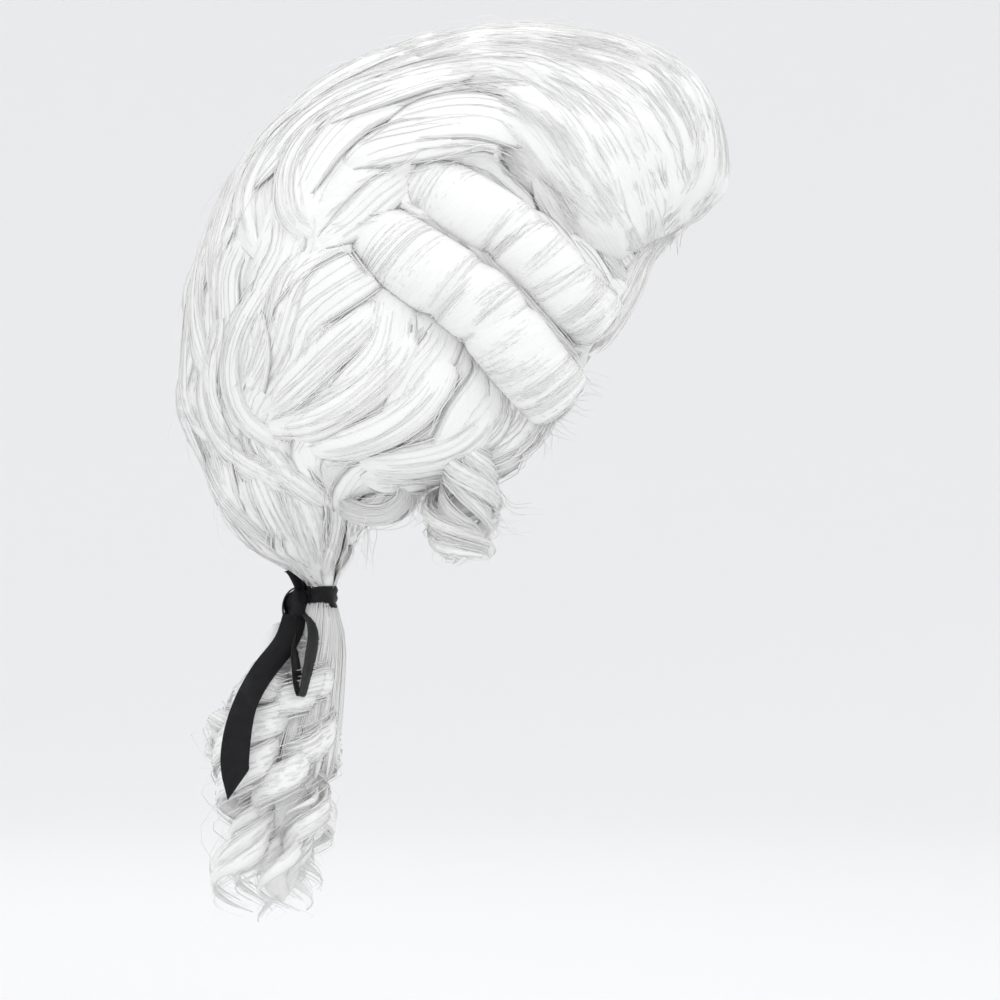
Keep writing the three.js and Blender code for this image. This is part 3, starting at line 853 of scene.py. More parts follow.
def soft_copy(name: str, nodes: tuple[str, ...], voxel: float, passes: int) -> bpy.types.Object:
    """Copies solids into one evenly meshed, softened body.

    Args:
        name: the new object's name.
        nodes: the solids to copy.
        voxel: mesh size in millimetres.
        passes: how often the surface is smoothed.

    Returns:
        The new object.
    """
    copies = [link_new(f"{name}_{node}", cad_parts[node].data.copy()) for node in nodes]
    body = join(*copies) if len(copies) > 1 else copies[0]
    body.name = name
    body.data.name = name
    body.data.materials.clear()
    remesh = body.modifiers.new("even", "REMESH")
    remesh.mode = "VOXEL"
    remesh.voxel_size = voxel * MM
    remesh.use_smooth_shade = True
    select_only(body)
    bpy.ops.object.modifier_apply(modifier="even")
    soften = body.modifiers.new("soften", "SMOOTH")
    soften.factor = 0.5
    soften.iterations = passes
    bpy.ops.object.modifier_apply(modifier="soften")
    return body


def lay_fibre(piece: bpy.types.Object, rows: np.ndarray, tones: np.ndarray) -> None:
    """Gives a smooth body the fibre places and lightness that locks have.

    Args:
        piece: the body.
        rows: place across and along the hair at each point, in millimetres.
        tones: lightness at each point.
    """
    loops = np.zeros(len(piece.data.loops), np.int32)
    piece.data.loops.foreach_get("vertex_index", loops)
    lay = piece.data.uv_layers.new(name="fibre")
    lay.data.foreach_set("uv", rows[loops].astype(np.float32).ravel())
    tone = piece.data.attributes.new("tone", "FLOAT", "POINT")
    tone.data.foreach_set("value", tones.astype(np.float32))


class Surface:
    """A closed surface that hair is laid on."""

    def __init__(self, piece: bpy.types.Object) -> None:
        """Keeps a search tree of an object's faces.

        Args:
            piece: the object whose surface it is.
        """
        self.points, self.faces = mesh_arrays(piece)
        self.tree = BVHTree.FromPolygons([tuple(p) for p in self.points.tolist()], self.faces)

    def snap(self, spots: np.ndarray) -> tuple[np.ndarray, np.ndarray]:
        """Moves points onto the surface.

        Args:
            spots: points near the surface.

        Returns:
            The nearest surface points and the normals there.
        """
        found = [self.tree.find_nearest(Vector(p)) for p in spots.tolist()]
        return np.array([tuple(hit[0]) for hit in found]), np.array([tuple(hit[1]) for hit in found])

    def gap(self, spots: np.ndarray) -> np.ndarray:
        """Measures how far points are from the surface.

        Args:
            spots: points.

        Returns:
            The distances.
        """
        return np.array([self.tree.find_nearest(Vector(p))[3] for p in spots.tolist()])

    def from_side(self, x: float, z: float, side: Side) -> np.ndarray | None:
        """Finds the outermost surface point at a side-view place.

        Args:
            x: place from back to front.
            z: height.
            side: the side looked from.

        Returns:
            The point, or None where nothing is there.
        """
        hit = self.tree.ray_cast(Vector((x, side.value * 400.0, z)), Vector((0.0, -side.value, 0.0)))[0]
        return None if hit is None else np.array(tuple(hit))

    def seeds(self, count: int, rng: np.random.Generator) -> tuple[np.ndarray, np.ndarray]:
        """Scatters points evenly over the surface.

        Args:
            count: how many points.
            rng: the source of chance.

        Returns:
            Points and face normals.
        """
        corners = np.array([face[:3] for face in self.faces] + [(f[0], f[2], f[3]) for f in self.faces if len(f) > 3])
        a, b, c = (self.points[corners[:, k]] for k in range(3))
        cross = np.cross(b - a, c - a)
        area = np.linalg.norm(cross, axis=1)
        pick = rng.choice(len(corners), count, p=area / area.sum())
        u, v = rng.uniform(0, 1, (2, count, 1))
        flip = u + v > 1
        u, v = np.where(flip, 1 - u, u), np.where(flip, 1 - v, v)
        return a[pick] + u * (b - a)[pick] + v * (c - a)[pick], unit(cross[pick])


def spread(spots: np.ndarray, count: int) -> np.ndarray:
    """Picks points that lie evenly apart.

    Args:
        spots: many candidates in random order.
        count: about how many to pick.

    Returns:
        Numbers of the picked points.
    """
    low, high = 0.0, 200.0
    chosen = np.arange(len(spots))
    for _ in range(14):
        apart = (low + high) / 2
        free = np.ones(len(spots), bool)
        picks = []
        for number in range(len(spots)):
            if free[number]:
                picks.append(number)
                free &= np.linalg.norm(spots - spots[number], axis=1) > apart
            if len(picks) > 1.1 * count:
                break
        if len(picks) > count:
            low = apart
        else:
            high, chosen = apart, np.array(picks)
    return chosen


# Combing lines in side view, root first: rows are (x, z) in millimetres. The
# first number is how far down from the parting the line lies. The second says
# how far to the side it runs, or None for the side's surface.
COMB_LINES: tuple[tuple[float, float | None, tuple[tuple[float, float], ...]], ...] = (
    (0, 0, ((96, -70), (113, -58), (124, -44), (126, -30), (121, -8), (112, 11), (97, 22), (82, 29), (62, 34), (37, 37),
         (12, 37), (-12, 34), (-38, 27), (-65, 14), (-88, 1), (-106, -18), (-120, -36), (-130, -56), (-137, -76),
         (-142, -99), (-144, -121), (-146, -144), (-144, -161), (-138, -179), (-130, -195), (-122, -211),
         (-106, -225), (-88, -236))),
    (42, 42, ((92, -70), (108, -56), (116, -40), (115, -20), (106, 2), (92, 14), (70, 24), (40, 28), (10, 27), (-20, 24),
          (-50, 14), (-76, 2), (-97, -16), (-112, -36), (-124, -60), (-131, -85), (-135, -115), (-136, -145),
          (-130, -175), (-118, -200), (-100, -220), (-84, -238))),
    (60, None, ((98, -66), (98, -44), (88, -19), (68, 1), (42, 12), (12, 16), (-18, 13), (-42, 5))),
    (76, None, ((90, -72), (82, -52), (68, -26), (50, -6), (32, 3), (8, 7), (-22, 2), (-45, -6))),
    (92, None, ((82, -80), (70, -59), (55, -36), (40, -16), (22, -4), (2, -1), (-22, -8), (-45, -18))),
    (106, None, ((78, -92), (62, -69), (45, -46), (30, -26), (15, -14), (-2, -12), (-25, -16))),
    (118, None, ((74, -99), (58, -76), (40, -55), (22, -35), (8, -22), (-8, -19), (-28, -24))),
    (62, None, ((-38, 14), (-62, 4), (-85, -12), (-102, -29), (-115, -52), (-124, -74), (-130, -99), (-134, -124),
            (-134, -149), (-130, -169), (-122, -186), (-112, -204), (-97, -221), (-82, -237))),
    (84, None, ((-40, -2), (-62, -9), (-80, -22), (-95, -39), (-105, -62), (-112, -84), (-117, -109), (-118, -132),
            (-115, -154), (-106, -172), (-97, -189), (-88, -209), (-78, -234))),
    (108, None, ((-65, -14), (-78, -29), (-86, -49), (-92, -74), (-100, -99), (-106, -122), (-106, -142), (-97, -162),
            (-85, -179), (-78, -199), (-75, -229))),
    (122, None, ((-64, -78), (-80, -84), (-90, -99), (-94, -116), (-99, -132), (-104, -147))),
    (134, None, ((-42, -99), (-55, -109), (-70, -124), (-85, -142), (-95, -154), (-101, -169))),
    (150, None, ((-30, -112), (-32, -126), (-42, -141), (-60, -155), (-78, -164), (-95, -164))),
    (170, None, ((-12, -122), (-14, -139), (-22, -154), (-40, -164), (-57, -171), (-72, -176), (-76, -189), (-70, -203))),
    (190, None, ((12, -144), (8, -164), (-8, -176), (-28, -180), (-45, -183))),
    (204, None, ((30, -161), (22, -174), (4, -184), (-18, -184))),
    (150, None, ((-50, -170), (-66, -186), (-72, -204), (-76, -226), (-76, -240))),
)


@dataclass(frozen=True)
class Sweep:
    """A large lock drawn in side view, laid on both sides.

    Attributes:
        half: half its width.
        heap: how high it stands.
        line: places (x, z) from root to tip.
    """

    half: float
    heap: float
    line: tuple[tuple[float, float], ...]


# Large waves of the back hair as seen from the side
BACK_SWEEPS: tuple[Sweep, ...] = (
    Sweep(10, 3.6, ((-65, -78), (-78, -84), (-88, -96), (-92, -114), (-98, -130), (-106, -145), (-118, -154))),
    Sweep(10, 4.0, ((-42, -99), (-52, -114), (-66, -126), (-82, -142), (-95, -154), (-110, -162))),
    Sweep(10, 4.4, ((-30, -112), (-32, -126), (-44, -142), (-60, -154), (-78, -163), (-95, -165), (-108, -161))),
    Sweep(10, 4.4, ((-12, -122), (-14, -139), (-24, -154), (-40, -165), (-58, -172), (-72, -175), (-88, -173))),
    Sweep(11, 4.4, ((12, -142), (8, -162), (-6, -175), (-25, -180), (-45, -182), (-62, -180))),
    Sweep(9, 4.0, ((32, -159), (25, -174), (8, -184), (-12, -186), (-30, -183))),
    Sweep(9, 3.2, ((-62, -8), (-78, -19), (-88, -35), (-90, -54), (-84, -69), (-69, -77))),
    Sweep(11, 3.2, ((-58, 1), (-78, -7), (-95, -20), (-107, -38), (-112, -57), (-108, -74), (-100, -89))),
    Sweep(11, 3.6, ((-78, 3), (-97, -12), (-112, -32), (-121, -54), (-126, -77), (-125, -99), (-118, -117))),
    Sweep(10, 3.6, ((-112, -29), (-125, -49), (-132, -74), (-136, -99), (-134, -122), (-128, -139), (-115, -149))),
    Sweep(9, 3.6, ((-135, -74), (-140, -99), (-142, -124), (-141, -147), (-135, -164), (-121, -175))),
    Sweep(10, 3.6, ((-92, -84), (-106, -104), (-115, -124), (-116, -144), (-108, -162), (-92, -173), (-78, -184))),
    Sweep(10, 3.6, ((-125, -114), (-131, -134), (-130, -154), (-121, -172), (-106, -183), (-89, -192), (-72, -204))),
    Sweep(9, 3.2, ((-138, -159), (-134, -177), (-125, -194), (-112, -209), (-98, -222), (-85, -233))),
    Sweep(8, 2.8, ((-108, -164), (-106, -182), (-100, -199), (-92, -217), (-83, -234))),
    Sweep(7, 2.6, ((-88, -174), (-88, -189), (-85, -207), (-80, -224), (-78, -238))),
    Sweep(7, 2.6, ((-70, -184), (-65, -199), (-68, -214), (-73, -229), (-75, -239))),
    Sweep(8, 3.0, ((-125, -169), (-110, -178), (-90, -187), (-75, -198), (-62, -204))),
    Sweep(8, 3.0, ((-112, -150), (-104, -166), (-92, -182), (-82, -200), (-78, -220), (-77, -238))),
    Sweep(6, 12.0, ((-38, -54), (-18, -68), (2, -83), (18, -98), (32, -114), (46, -129), (52, -134))),
    Sweep(9, 2.4, ((-20, 26), (-48, 21), (-72, 12), (-92, -2), (-108, -20), (-120, -42))),
    Sweep(9, 2.4, ((-5, 12), (-32, 8), (-56, 0), (-78, -12), (-94, -28), (-104, -48))),
)
# Hair that rises from the front edge and runs back under the roll
TEMPLE_SWEEPS: tuple[Sweep, ...] = (
    Sweep(6, 1.6, ((91, -74), (84, -66), (72, -52), (58, -36), (44, -24))),
    Sweep(6, 1.8, ((86, -82), (78, -72), (66, -58), (52, -42), (38, -29))),
    Sweep(6, 2.0, ((81, -90), (73, -80), (61, -65), (47, -49), (33, -35))),
    Sweep(6, 2.0, ((76, -98), (68, -88), (56, -72), (42, -56), (28, -42))),
    Sweep(5, 2.0, ((71, -107), (64, -98), (54, -84), (42, -68), (30, -54))),
    Sweep(5, 1.8, ((67, -114), (61, -106), (53, -95), (44, -82), (34, -68))),
    Sweep(4, 2.4, ((88, -76), (79, -76), (69, -66), (58, -52), (46, -38))),
    Sweep(4.5, 3.0, ((102, -60), (94, -68), (84, -79), (79, -92), (72, -106), (65, -117), (60, -121))),
    Sweep(3.5, 2.4, ((97, -62), (89, -71), (79, -82), (74, -94), (67, -107), (60, -117))),
    Sweep(4, 2.4, ((80, -92), (72, -90), (62, -80), (50, -64), (38, -50))),
)

# Hair that falls from under the curls and turns in above the ringlet
EAR_SWEEPS: tuple[Sweep, ...] = (
    Sweep(11, 4.5, ((-2, -112), (14, -132), (23, -147), (24, -160), (14, -171), (-4, -178), (-22, -180))),
    Sweep(11, 4.5, ((-14, -118), (0, -136), (9, -150), (8, -162), (-6, -172), (-24, -177), (-40, -176))),
    Sweep(7, 3.5, ((10, -122), (24, -138), (31, -151), (31, -162), (22, -172), (8, -178))),
)


class Comb:
    """The direction in which hair lies at each place."""

    def __init__(self, surface: Surface) -> None:
        """Lays the combing lines on a surface, on both sides.

        Args:
            surface: the hair's surface.
        """
        spots, ways, downs, across, along = [], [], [], [], []
        for down, level, line in COMB_LINES:
            dense = spline(np.array(line, float), 5 * len(line))
            for side in Side:
                if level is None:
                    hits = [surface.from_side(x, z, side) for x, z in dense]
                    rows = np.array([hit for hit in hits if hit is not None])
                else:
                    flat = np.stack([dense[:, 0], np.full(len(dense), side.value * level), dense[:, 1]], axis=1)
                    rows = surface.snap(flat)[0]
                rows = smoothed(rows, 2)
                spots.append(rows)
                ways.append(unit(np.gradient(rows, axis=0)))
                downs.append(-side.value * np.cross(surface.snap(rows)[1], ways[-1]))
                across.append(np.full(len(rows), float(down)))
                steps = np.linalg.norm(np.diff(rows, axis=0), axis=1)
                along.append(np.concatenate([[0.0], np.cumsum(steps)]))
        self.spots = np.concatenate(spots)
        self.ways = np.concatenate(ways)
        self.downs = unit(np.concatenate(downs))
        self.across = np.concatenate(across)
        self.along = np.concatenate(along)

    def direction(self, places: np.ndarray, normals: np.ndarray) -> np.ndarray:
        """Finds the way hair runs.

        Args:
            places: points on the surface.
            normals: normals there.

        Returns:
            Unit vectors along the surface.
        """
        apart = np.linalg.norm(places[:, None, :] - self.spots[None, :, :], axis=2)
        weight = 1.0 / (apart**2 + 30.0) ** 2
        way = np.einsum("ij,jk->ik", weight, self.ways)
        way = way - normals * np.sum(way * normals, axis=1, keepdims=True)
        return unit(way)

    def lay(self, places: np.ndarray) -> np.ndarray:
        """Finds where points lie across and along the hair.

        Args:
            places: points on the surface.

        Returns:
            Rows of how far across and how far along, in millimetres.
        """
        rows = np.zeros((len(places), 2))
        for first in range(0, len(places), 2000):
            apart = places[first : first + 2000, None, :] - self.spots[None, :, :]
            weight = 1.0 / (np.sum(apart**2, axis=2) + 40.0) ** 2.5
            weight = weight / weight.sum(axis=1, keepdims=True)
            for column, start, way in ((0, self.across, self.downs), (1, self.along, self.ways)):
                value = start + np.einsum("ijk,jk->ij", apart, way)
                rows[first : first + 2000, column] = np.sum(weight * value, axis=1)
        return rows


@dataclass
class Combing:
    """Traces locks over a surface along the comb's lines.

    Attributes:
        surface: what the locks lie on.
        comb: the direction of the hair.
        rng: the source of chance.
    """

    surface: Surface
    comb: Comb
    rng: np.random.Generator

    def trace(self, seeds: np.ndarray, length: np.ndarray, steps: int) -> tuple[np.ndarray, np.ndarray]:
        """Follows the hair from seed points, both ways.

        Args:
            seeds: points on the surface.
            length: length of each lock.
            steps: how many points each lock has.

        Returns:
            Centre lines and normals, as (lock, point, 3).
        """
        count = len(seeds)
        back = int(steps * 0.4)
        stride = (length / steps)[:, None]
        turn = self.rng.normal(0.0, 0.10, (count, 1))
        spots = np.zeros((count, steps, 3))
        normals = np.zeros((count, steps, 3))
        start, facing = self.surface.snap(seeds)
        spots[:, back], normals[:, back] = start, facing
        for sign, run in ((-1, range(back - 1, -1, -1)), (1, range(back + 1, steps))):
            here, normal = start, facing
            for k in run:
                way = self.comb.direction(here, normal)
                way = unit(way + turn * np.cross(normal, way))
                here, normal = self.surface.snap(here + sign * stride * way)
                spots[:, k], normals[:, k] = here, normal
        for row in range(count):
            spots[row] = smoothed(spots[row], 3)
            normals[row] = unit(smoothed(normals[row], 6))
        return spots, normals


@dataclass
class HairMass:
    """A dressed mass of hair: softened bed with combed locks on it.

    Attributes:
        node: the solid it stands for.
        locks: how many locks lie on it.
        strands: strands in each lock.
        length: shortest and longest lock.
        width: smallest and largest half width of a lock.
        seed: seed of its chance.
        voxel: mesh size of the bed.
        heap: height of the lowest and highest lock.
        wave: how far locks swing from side to side.
        rise: how far a lock's tip lies above its root.
        strand_rings: rings of points along a strand.
        layers: how far above the bed the highest lock lies.
        haze: how many fine loose locks lie on top.
        packed: whether the locks have solid bodies.
        ridge: how high the bed's ridges are.
    """

    node: str
    locks: int
    strands: int
    length: tuple[float, float]
    width: tuple[float, float]
    seed: int
    voxel: float = 3.2
    heap: tuple[float, float] = (1.0, 2.4)
    wave: float = 0.0
    rise: float = 1.6
    strand_rings: int = 11
    layers: float = 1.6
    haze: int = 150
    packed: bool = True
    ridge: float = 0.5

    def bed(self, comb: Comb, rng: np.random.Generator, hair: bpy.types.Material) -> bpy.types.Object:
        """Makes the smooth packed hair, with soft ridges along its fibres and painted shade in the troughs between
        them.

        Args:
            comb: the direction of the hair.
            rng: the source of chance.
            hair: the fibre's material.

        Returns:
            The bed.
        """
        base = soft_copy(self.node + "_bed", (self.node,), self.voxel, 5)
        places = mesh_arrays(base)[0]
        rows = comb.lay(places)
        swell = np.zeros(len(places))
        for width in RIDGE_WIDTHS:
            drift = np.sin(rows[:, 1] / rng.uniform(22, 40) + rng.uniform(0, 6)) * rng.uniform(0.5, 1.2)
            swell += np.sin(2 * np.pi * rows[:, 0] / width + drift + rng.uniform(0, 6)) * width / 15.0
        normals = np.zeros(len(places) * 3, np.float32)
        base.data.vertices.foreach_get("normal", normals)
        moved = places + (self.ridge * swell * 0.5 + 0.2)[:, None] * normals.reshape(-1, 3)
        base.data.vertices.foreach_set("co", (moved * MM).astype(np.float32).ravel())
        base.data.update()
        # Tone follows the ridges: painted light on the crests and painted shade in the troughs.
        lay_fibre(base, rows, 0.62 + 0.06 * swell)
        base.data.materials.append(hair)
        return base

    def waved(self, lines: np.ndarray, normals: np.ndarray, rng: np.random.Generator) -> np.ndarray:
        """Bends locks from side to side in a slow wave.

        Args:
            lines: centre lines as (lock, point, 3).
            normals: normals there.
            rng: the source of chance.

        Returns:
            The waved centre lines.
        """
        if not self.wave:
            return lines
        across = beside(lines, normals)
        low = np.clip((-30 - lines[..., 2]) / 90, 0, 1)
        swing = 2 * np.pi * lines[..., 2] / 58.0 + 0.9 * np.sin(lines[..., 0] / 17.0)
        swing = swing + rng.normal(0.0, 0.5, (len(lines), 1))
        return lines + (self.wave * low * np.sin(swing))[..., None] * across

    def build(
        self,
        surface: Surface,
        comb: Comb,
        others: dict[str, Surface],
        hair: bpy.types.Material,
    ) -> bpy.types.Object:
        """Makes the bed and its locks as one piece.

        Args:
            surface: the whole wig's hair surface.
            comb: the direction of the hair.
            others: surface of each solid, to tell whose hair a place is.
            hair: the strands' material.

        Returns:
            The finished piece.
        """
        rng = np.random.default_rng(self.seed)
        spots, facing = surface.seeds(6 * self.locks + 4000, rng)
        outward = np.sum(unit(spots - MIDDLE) * facing, axis=1)
        aside = np.abs(spots[:, 1]) > side_of_head(spots[:, 0], spots[:, 2]) + CAP_WALL + 1.5
        spots = spots[(aside | (outward > 0.25)) & (outward > -0.35)]
        gaps = np.stack([others[name].gap(spots) for name in others], axis=1)
        spots = spots[np.argmin(gaps, axis=1) == list(others).index(self.node)]
        spots = spots[spread(spots, self.locks)]
        count = len(spots)
        length = rng.uniform(*self.length, count)
        lines, normals = Combing(surface, comb, rng).trace(spots, length, COMBED_POINTS)
        lines = self.waved(lines, normals, rng)
        mesh = HairMesh(rings=self.strand_rings, rng=rng, gathered=self.node == "back_hair")
        share = np.linspace(0.0, 1.0, COMBED_POINTS)
        for line, normal in zip(lines, normals):
            width = rng.uniform(*self.width) * (0.55 + 0.45 * np.sin(np.pi * np.clip(share * 0.9 + 0.08, 0, 1)))
            heap = rng.uniform(*self.heap) * np.sin(np.pi * np.clip(share * 0.96 + 0.02, 0, 1)) ** 0.5
            mesh.add(Tress(
                centre=line, normal=normal, half_width=width, thickness=heap, strands=self.strands,
                radius=0.25 if self.packed else 0.17, tone=rng.uniform(0.50, 0.80), rise=self.rise,
                layer=rng.uniform(0.0, self.layers), body=self.packed, ragged=0.12 if self.packed else 0.3,
            ))
        picked = rng.choice(count, self.haze)
        for line, normal in zip(lines[picked], normals[picked]):
            slide = rng.uniform(-12, 12) + rng.normal(0.0, 4.0) * share
            mesh.add(Tress(
                centre=line + slide[:, None] * beside(line, normal), normal=normal, half_width=3.0,
                thickness=rng.uniform(1.5, 3.5), strands=2, radius=0.20, tone=rng.uniform(0.6, 0.9), frizz=0.6,
                body=False, layer=self.layers * 0.8,
            ))
        piece = join(mesh.build(self.node + "_hair", hair), self.bed(comb, rng, hair))
        return hand_over(piece, self.node)


@dataclass
class SweepLayer:
    """Large drawn locks that give a mass its waves.

    Attributes:
        name: name of the piece.
        node: the solid it dresses together with that solid's hair.
        sweeps: the locks.
        strands: strands on each lock.
        seed: seed of its chance.
        standoff: how far the locks lie outside the fitted form, or 0 to lie on the hair.
    """

    name: str
    node: str
    sweeps: tuple[Sweep, ...]
    strands: int
    seed: int
    standoff: float = 0.0

    def spots(self, sweep: Sweep, side: Side, surface: Surface, rng: np.random.Generator) -> np.ndarray:
        """Places a lock's centre line on one side.

        Args:
            sweep: the lock.
            side: the side it lies on.
            surface: the hair under it.
            rng: the source of chance.

        Returns:
            The centre line.
        """
        dense = spline(np.array(sweep.line, float), SWEEP_POINTS)
        if side is Side.LEFT and not self.standoff:
            share = np.linspace(0, 1, SWEEP_POINTS)[:, None]
            dense = dense + rng.normal(0.0, 2.0, 2) + share * rng.normal(0.0, 3.0, 2)
        rows = []
        for x, z in dense:
            hit = None if self.standoff else surface.from_side(x, z, side)
            if self.standoff:
                hit = np.array([x, side.value * (float(side_of_head(x, z)) + self.standoff), z])
            elif hit is None:
                hit = surface.snap(np.array([[x, side.value * 4.0, z]]))[0][0]
            rows.append(hit)
        return smoothed(np.array(rows), 4)

    def build(self, surface: Surface, hair: bpy.types.Material) -> bpy.types.Object:
        """Makes the locks of both sides as one piece.

        Args:
            surface: the hair under the locks.
            hair: the strands' material.

        Returns:
            The finished piece.
        """
        rng = np.random.default_rng(self.seed)
        mesh = HairMesh(rings=13, rng=rng, body_rings=20, gathered=True)
        share = np.linspace(0.0, 1.0, SWEEP_POINTS)
        for sweep in self.sweeps:
            for side in Side:
                line = self.spots(sweep, side, surface, rng)
                normal = unit(smoothed(surface.snap(line)[1], 5))
                if self.standoff:
                    normal = unit(line * np.array([0.3, 1.0, 0.0]) + np.array([0.0, 0.0, 20.0]))
                mesh.add(Tress(
                    centre=line, normal=normal,
                    half_width=sweep.half * (0.5 + 0.5 * np.sin(np.pi * np.clip(share * 0.85 + 0.1, 0, 1))),
                    thickness=sweep.heap * np.sin(np.pi * np.clip(share * 0.92 + 0.04, 0, 1)) ** 0.6,
                    strands=self.strands, radius=0.27, tone=rng.uniform(0.5, 0.8), ragged=0.16, frizz=0.16, rise=2.0,
                ))
        return hand_over(mesh.build(self.name, hair), self.node)


UPPER_CURL_ROWS = np.array([
    (-39.5, -39.0, 11.0), (-29.5, -44.0, 15.0), (-15.0, -52.0, 16.3), (2.5, -62.0, 16.5), (19.0, -73.0, 16.5),
    (33.0, -86.0, 16.2), (45.0, -99.5, 15.6), (54.0, -108.0, 15.2), (60.0, -113.5, 15.0),
])
LOWER_CURL_ROWS = np.array([
    (-62.5, -60.0, 10.0), (-54.5, -67.5, 15.5), (-41.5, -77.0, 18.6), (-25.5, -87.5, 19.0), (-13.5, -95.0, 19.0),
    (-3.5, -101.5, 19.0), (7.0, -111.0, 19.0), (16.0, -121.5, 19.0), (24.5, -132.0, 18.6), (33.0, -142.0, 18.0),
    (40.5, -150.5, 17.5),
])
# Places (x, z) where the curls' hair leaves the back hair
UPPER_CURL_ROOTS = ((-62, -48), (-64, -36), (-60, -24), (-50, -15))
LOWER_CURL_ROOTS = ((-86, -76), (-90, -62), (-86, -48), (-76, -38))


@dataclass
class SausageCurl:
    """A hollow rolled curl on one side of the wig.

    Attributes:
        node: name of its solid without the side.
        rows: middle (x, z) and half width from the rear to the open end.
        seams: places of the seams as shares of the length.
        roots: places (x, z) behind the curl where its hair leaves the back hair.
        side: the side it lies on.
        seed: seed of its chance.
    """

    node: str
    rows: np.ndarray
    seams: tuple[float, ...]
    roots: tuple[tuple[float, float], ...]
    side: Side
    seed: int

    def __post_init__(self) -> None:
        """Works out the curl's spine and its frame."""
        line = spline(self.rows, 81)
        x, z, half = line.T
        out = side_of_head(x, z) + CAP_WALL + SIDE_HAIR_THICKNESS / 2 + CURL_FLATNESS * half
        self.spine = np.stack([x, self.side.value * out, z], axis=1)
        self.half = half
        self.way = unit(np.gradient(self.spine, axis=0))
        aside = np.array([0.0, float(self.side.value), 0.0])
        self.out = unit(aside - self.way * (self.way @ aside)[:, None])
        self.up = np.cross(self.way, self.out)

    def spot(self, place: np.ndarray, turn: np.ndarray, reach: np.ndarray | float) -> np.ndarray:
        """Finds points on or in the curl.

        Args:
            place: share of the length, 0 at the rear.
            turn: angle round the spine, 0 facing outward.
            reach: share of the half width.

        Returns:
            The points.
        """
        keys = np.linspace(0.0, 1.0, len(self.spine))
        spine, up, out = (resampled(place, keys, rows) for rows in (self.spine, self.up, self.out))
        groove = sum(np.exp(-(((place - seam + 0.03 * np.sin(turn)) / 0.03) ** 2)) for seam in self.seams)
        taper = np.clip(0.35 + 9 * place, 0, 1)
        half = (np.interp(place, keys, self.half) * taper - 1.8 * groove) * reach
        return spine + (half * np.sin(turn))[..., None] * up + (half * CURL_FLATNESS * np.cos(turn))[..., None] * out

    def bed(self, name: str, material: bpy.types.Material) -> bpy.types.Object:
        """Makes the curl's hollow wall.

        Args:
            name: the object's name.
            material: its material.

        Returns:
            The wall as an object.
        """
        rounds, steps = 40, 90
        rings = steps + steps // 2
        turn = np.linspace(0, 2 * np.pi, rounds, endpoint=False)[None, :]
        walls = ((np.linspace(0.0, 1.0, steps), 0.99), (np.linspace(1.0, 0.12, steps // 2), 0.80))
        points = np.concatenate([
            self.spot(*np.broadcast_arrays(place[:, None], turn), reach) for place, reach in walls
        ]).reshape(-1, 3)
        length = np.linalg.norm(np.diff(self.spine, axis=0), axis=1).sum()
        along = np.concatenate([place for place, _ in walls]) * length
        around = np.arange(rounds + 1) * 2 * np.pi * float(self.half.mean()) / rounds
        slant = 0.25 * around
        faces, places = [], []
        for i in range(rings):
            j = (i + 1) % rings
            for k in range(rounds):
                m = (k + 1) % rounds
                faces.append((i * rounds + k, i * rounds + m, j * rounds + m, j * rounds + k))
                places += [
                    (along[i] + slant[k], around[k]), (along[i] + slant[k + 1], around[k + 1]),
                    (along[j] + slant[k + 1], around[k + 1]), (along[j] + slant[k], around[k]),
                ]
        mesh = bpy.data.meshes.new(name)
        mesh.from_pydata((points * MM).tolist(), [], faces)
        mesh.materials.append(material)
        lay = mesh.uv_layers.new(name="fibre")
        lay.data.foreach_set("uv", np.array(places, np.float32).ravel())
        tone = mesh.attributes.new("tone", "FLOAT", "POINT")
        tone.data.foreach_set("value", np.full(len(points), 0.6, np.float32))
        piece = link_new(name, mesh)
        select_only(piece)
        bpy.ops.object.mode_set(mode="EDIT")
        bpy.ops.mesh.select_all(action="SELECT")
        bpy.ops.mesh.normals_make_consistent(inside=False)
        bpy.ops.object.mode_set(mode="OBJECT")
        bpy.ops.object.shade_smooth()
        return piece

    def build(self, surface: Surface, hair: bpy.types.Material) -> bpy.types.Object:
        """Makes the curl's wall and the locks wound round it.

        Args:
            surface: the hair behind the curl.
            hair: the strands' material.

        Returns:
            The finished piece.
        """
        rng = np.random.default_rng(self.seed)
        mesh = HairMesh(rings=14, rng=rng, body_rings=22)
        share = np.linspace(0.0, 1.0, CURL_POINTS)
        for station in np.linspace(0.01, 0.98, 28) + rng.normal(0, 0.012, 28):
            begin = rng.uniform(0.0, 6.28)
            sweep = rng.uniform(4.0, 6.6) * self.side.value
            drift = rng.uniform(0.03, 0.09)
            place = np.clip(station + drift * (share - 0.5), 0.0, 1.0)
            turn = begin + sweep * share
            centre = self.spot(place, turn, 0.98)
            mesh.add(Tress(
                centre=centre, normal=unit(centre - self.spot(place, turn, 0.0)),
                half_width=rng.uniform(2.5, 5.0), thickness=rng.uniform(0.2, 0.9), strands=10, radius=0.24,
                tone=rng.uniform(0.5, 0.85), frizz=0.35, sink=0.6, body=False, spill=1.0,
            ))
        for _ in range(5):
            turn = rng.uniform(0, 6.28) + self.side.value * 7.0 * share
            place = np.clip(0.985 + 0.015 * share, 0, 1)
            centre = self.spot(place, turn, 0.93 - rng.uniform(0.25, 0.5) * share)
            mesh.add(Tress(
                centre=centre, normal=unit(centre - self.spot(place, turn, 0.0)), half_width=2.4, thickness=1.0,
                strands=12, radius=0.3, tone=rng.uniform(0.4, 0.8), sink=0.2,
            ))
        CurlRoot(self, self.roots, (2.4, 1.5, 0.7, -0.2), self.seed + 5).add_to(mesh, surface)
        name = f"{self.node}_{self.side.word}"
        piece = join(mesh.build(name + "_hair", hair), self.bed(name + "_bed", hair))
        return hand_over(piece, name)


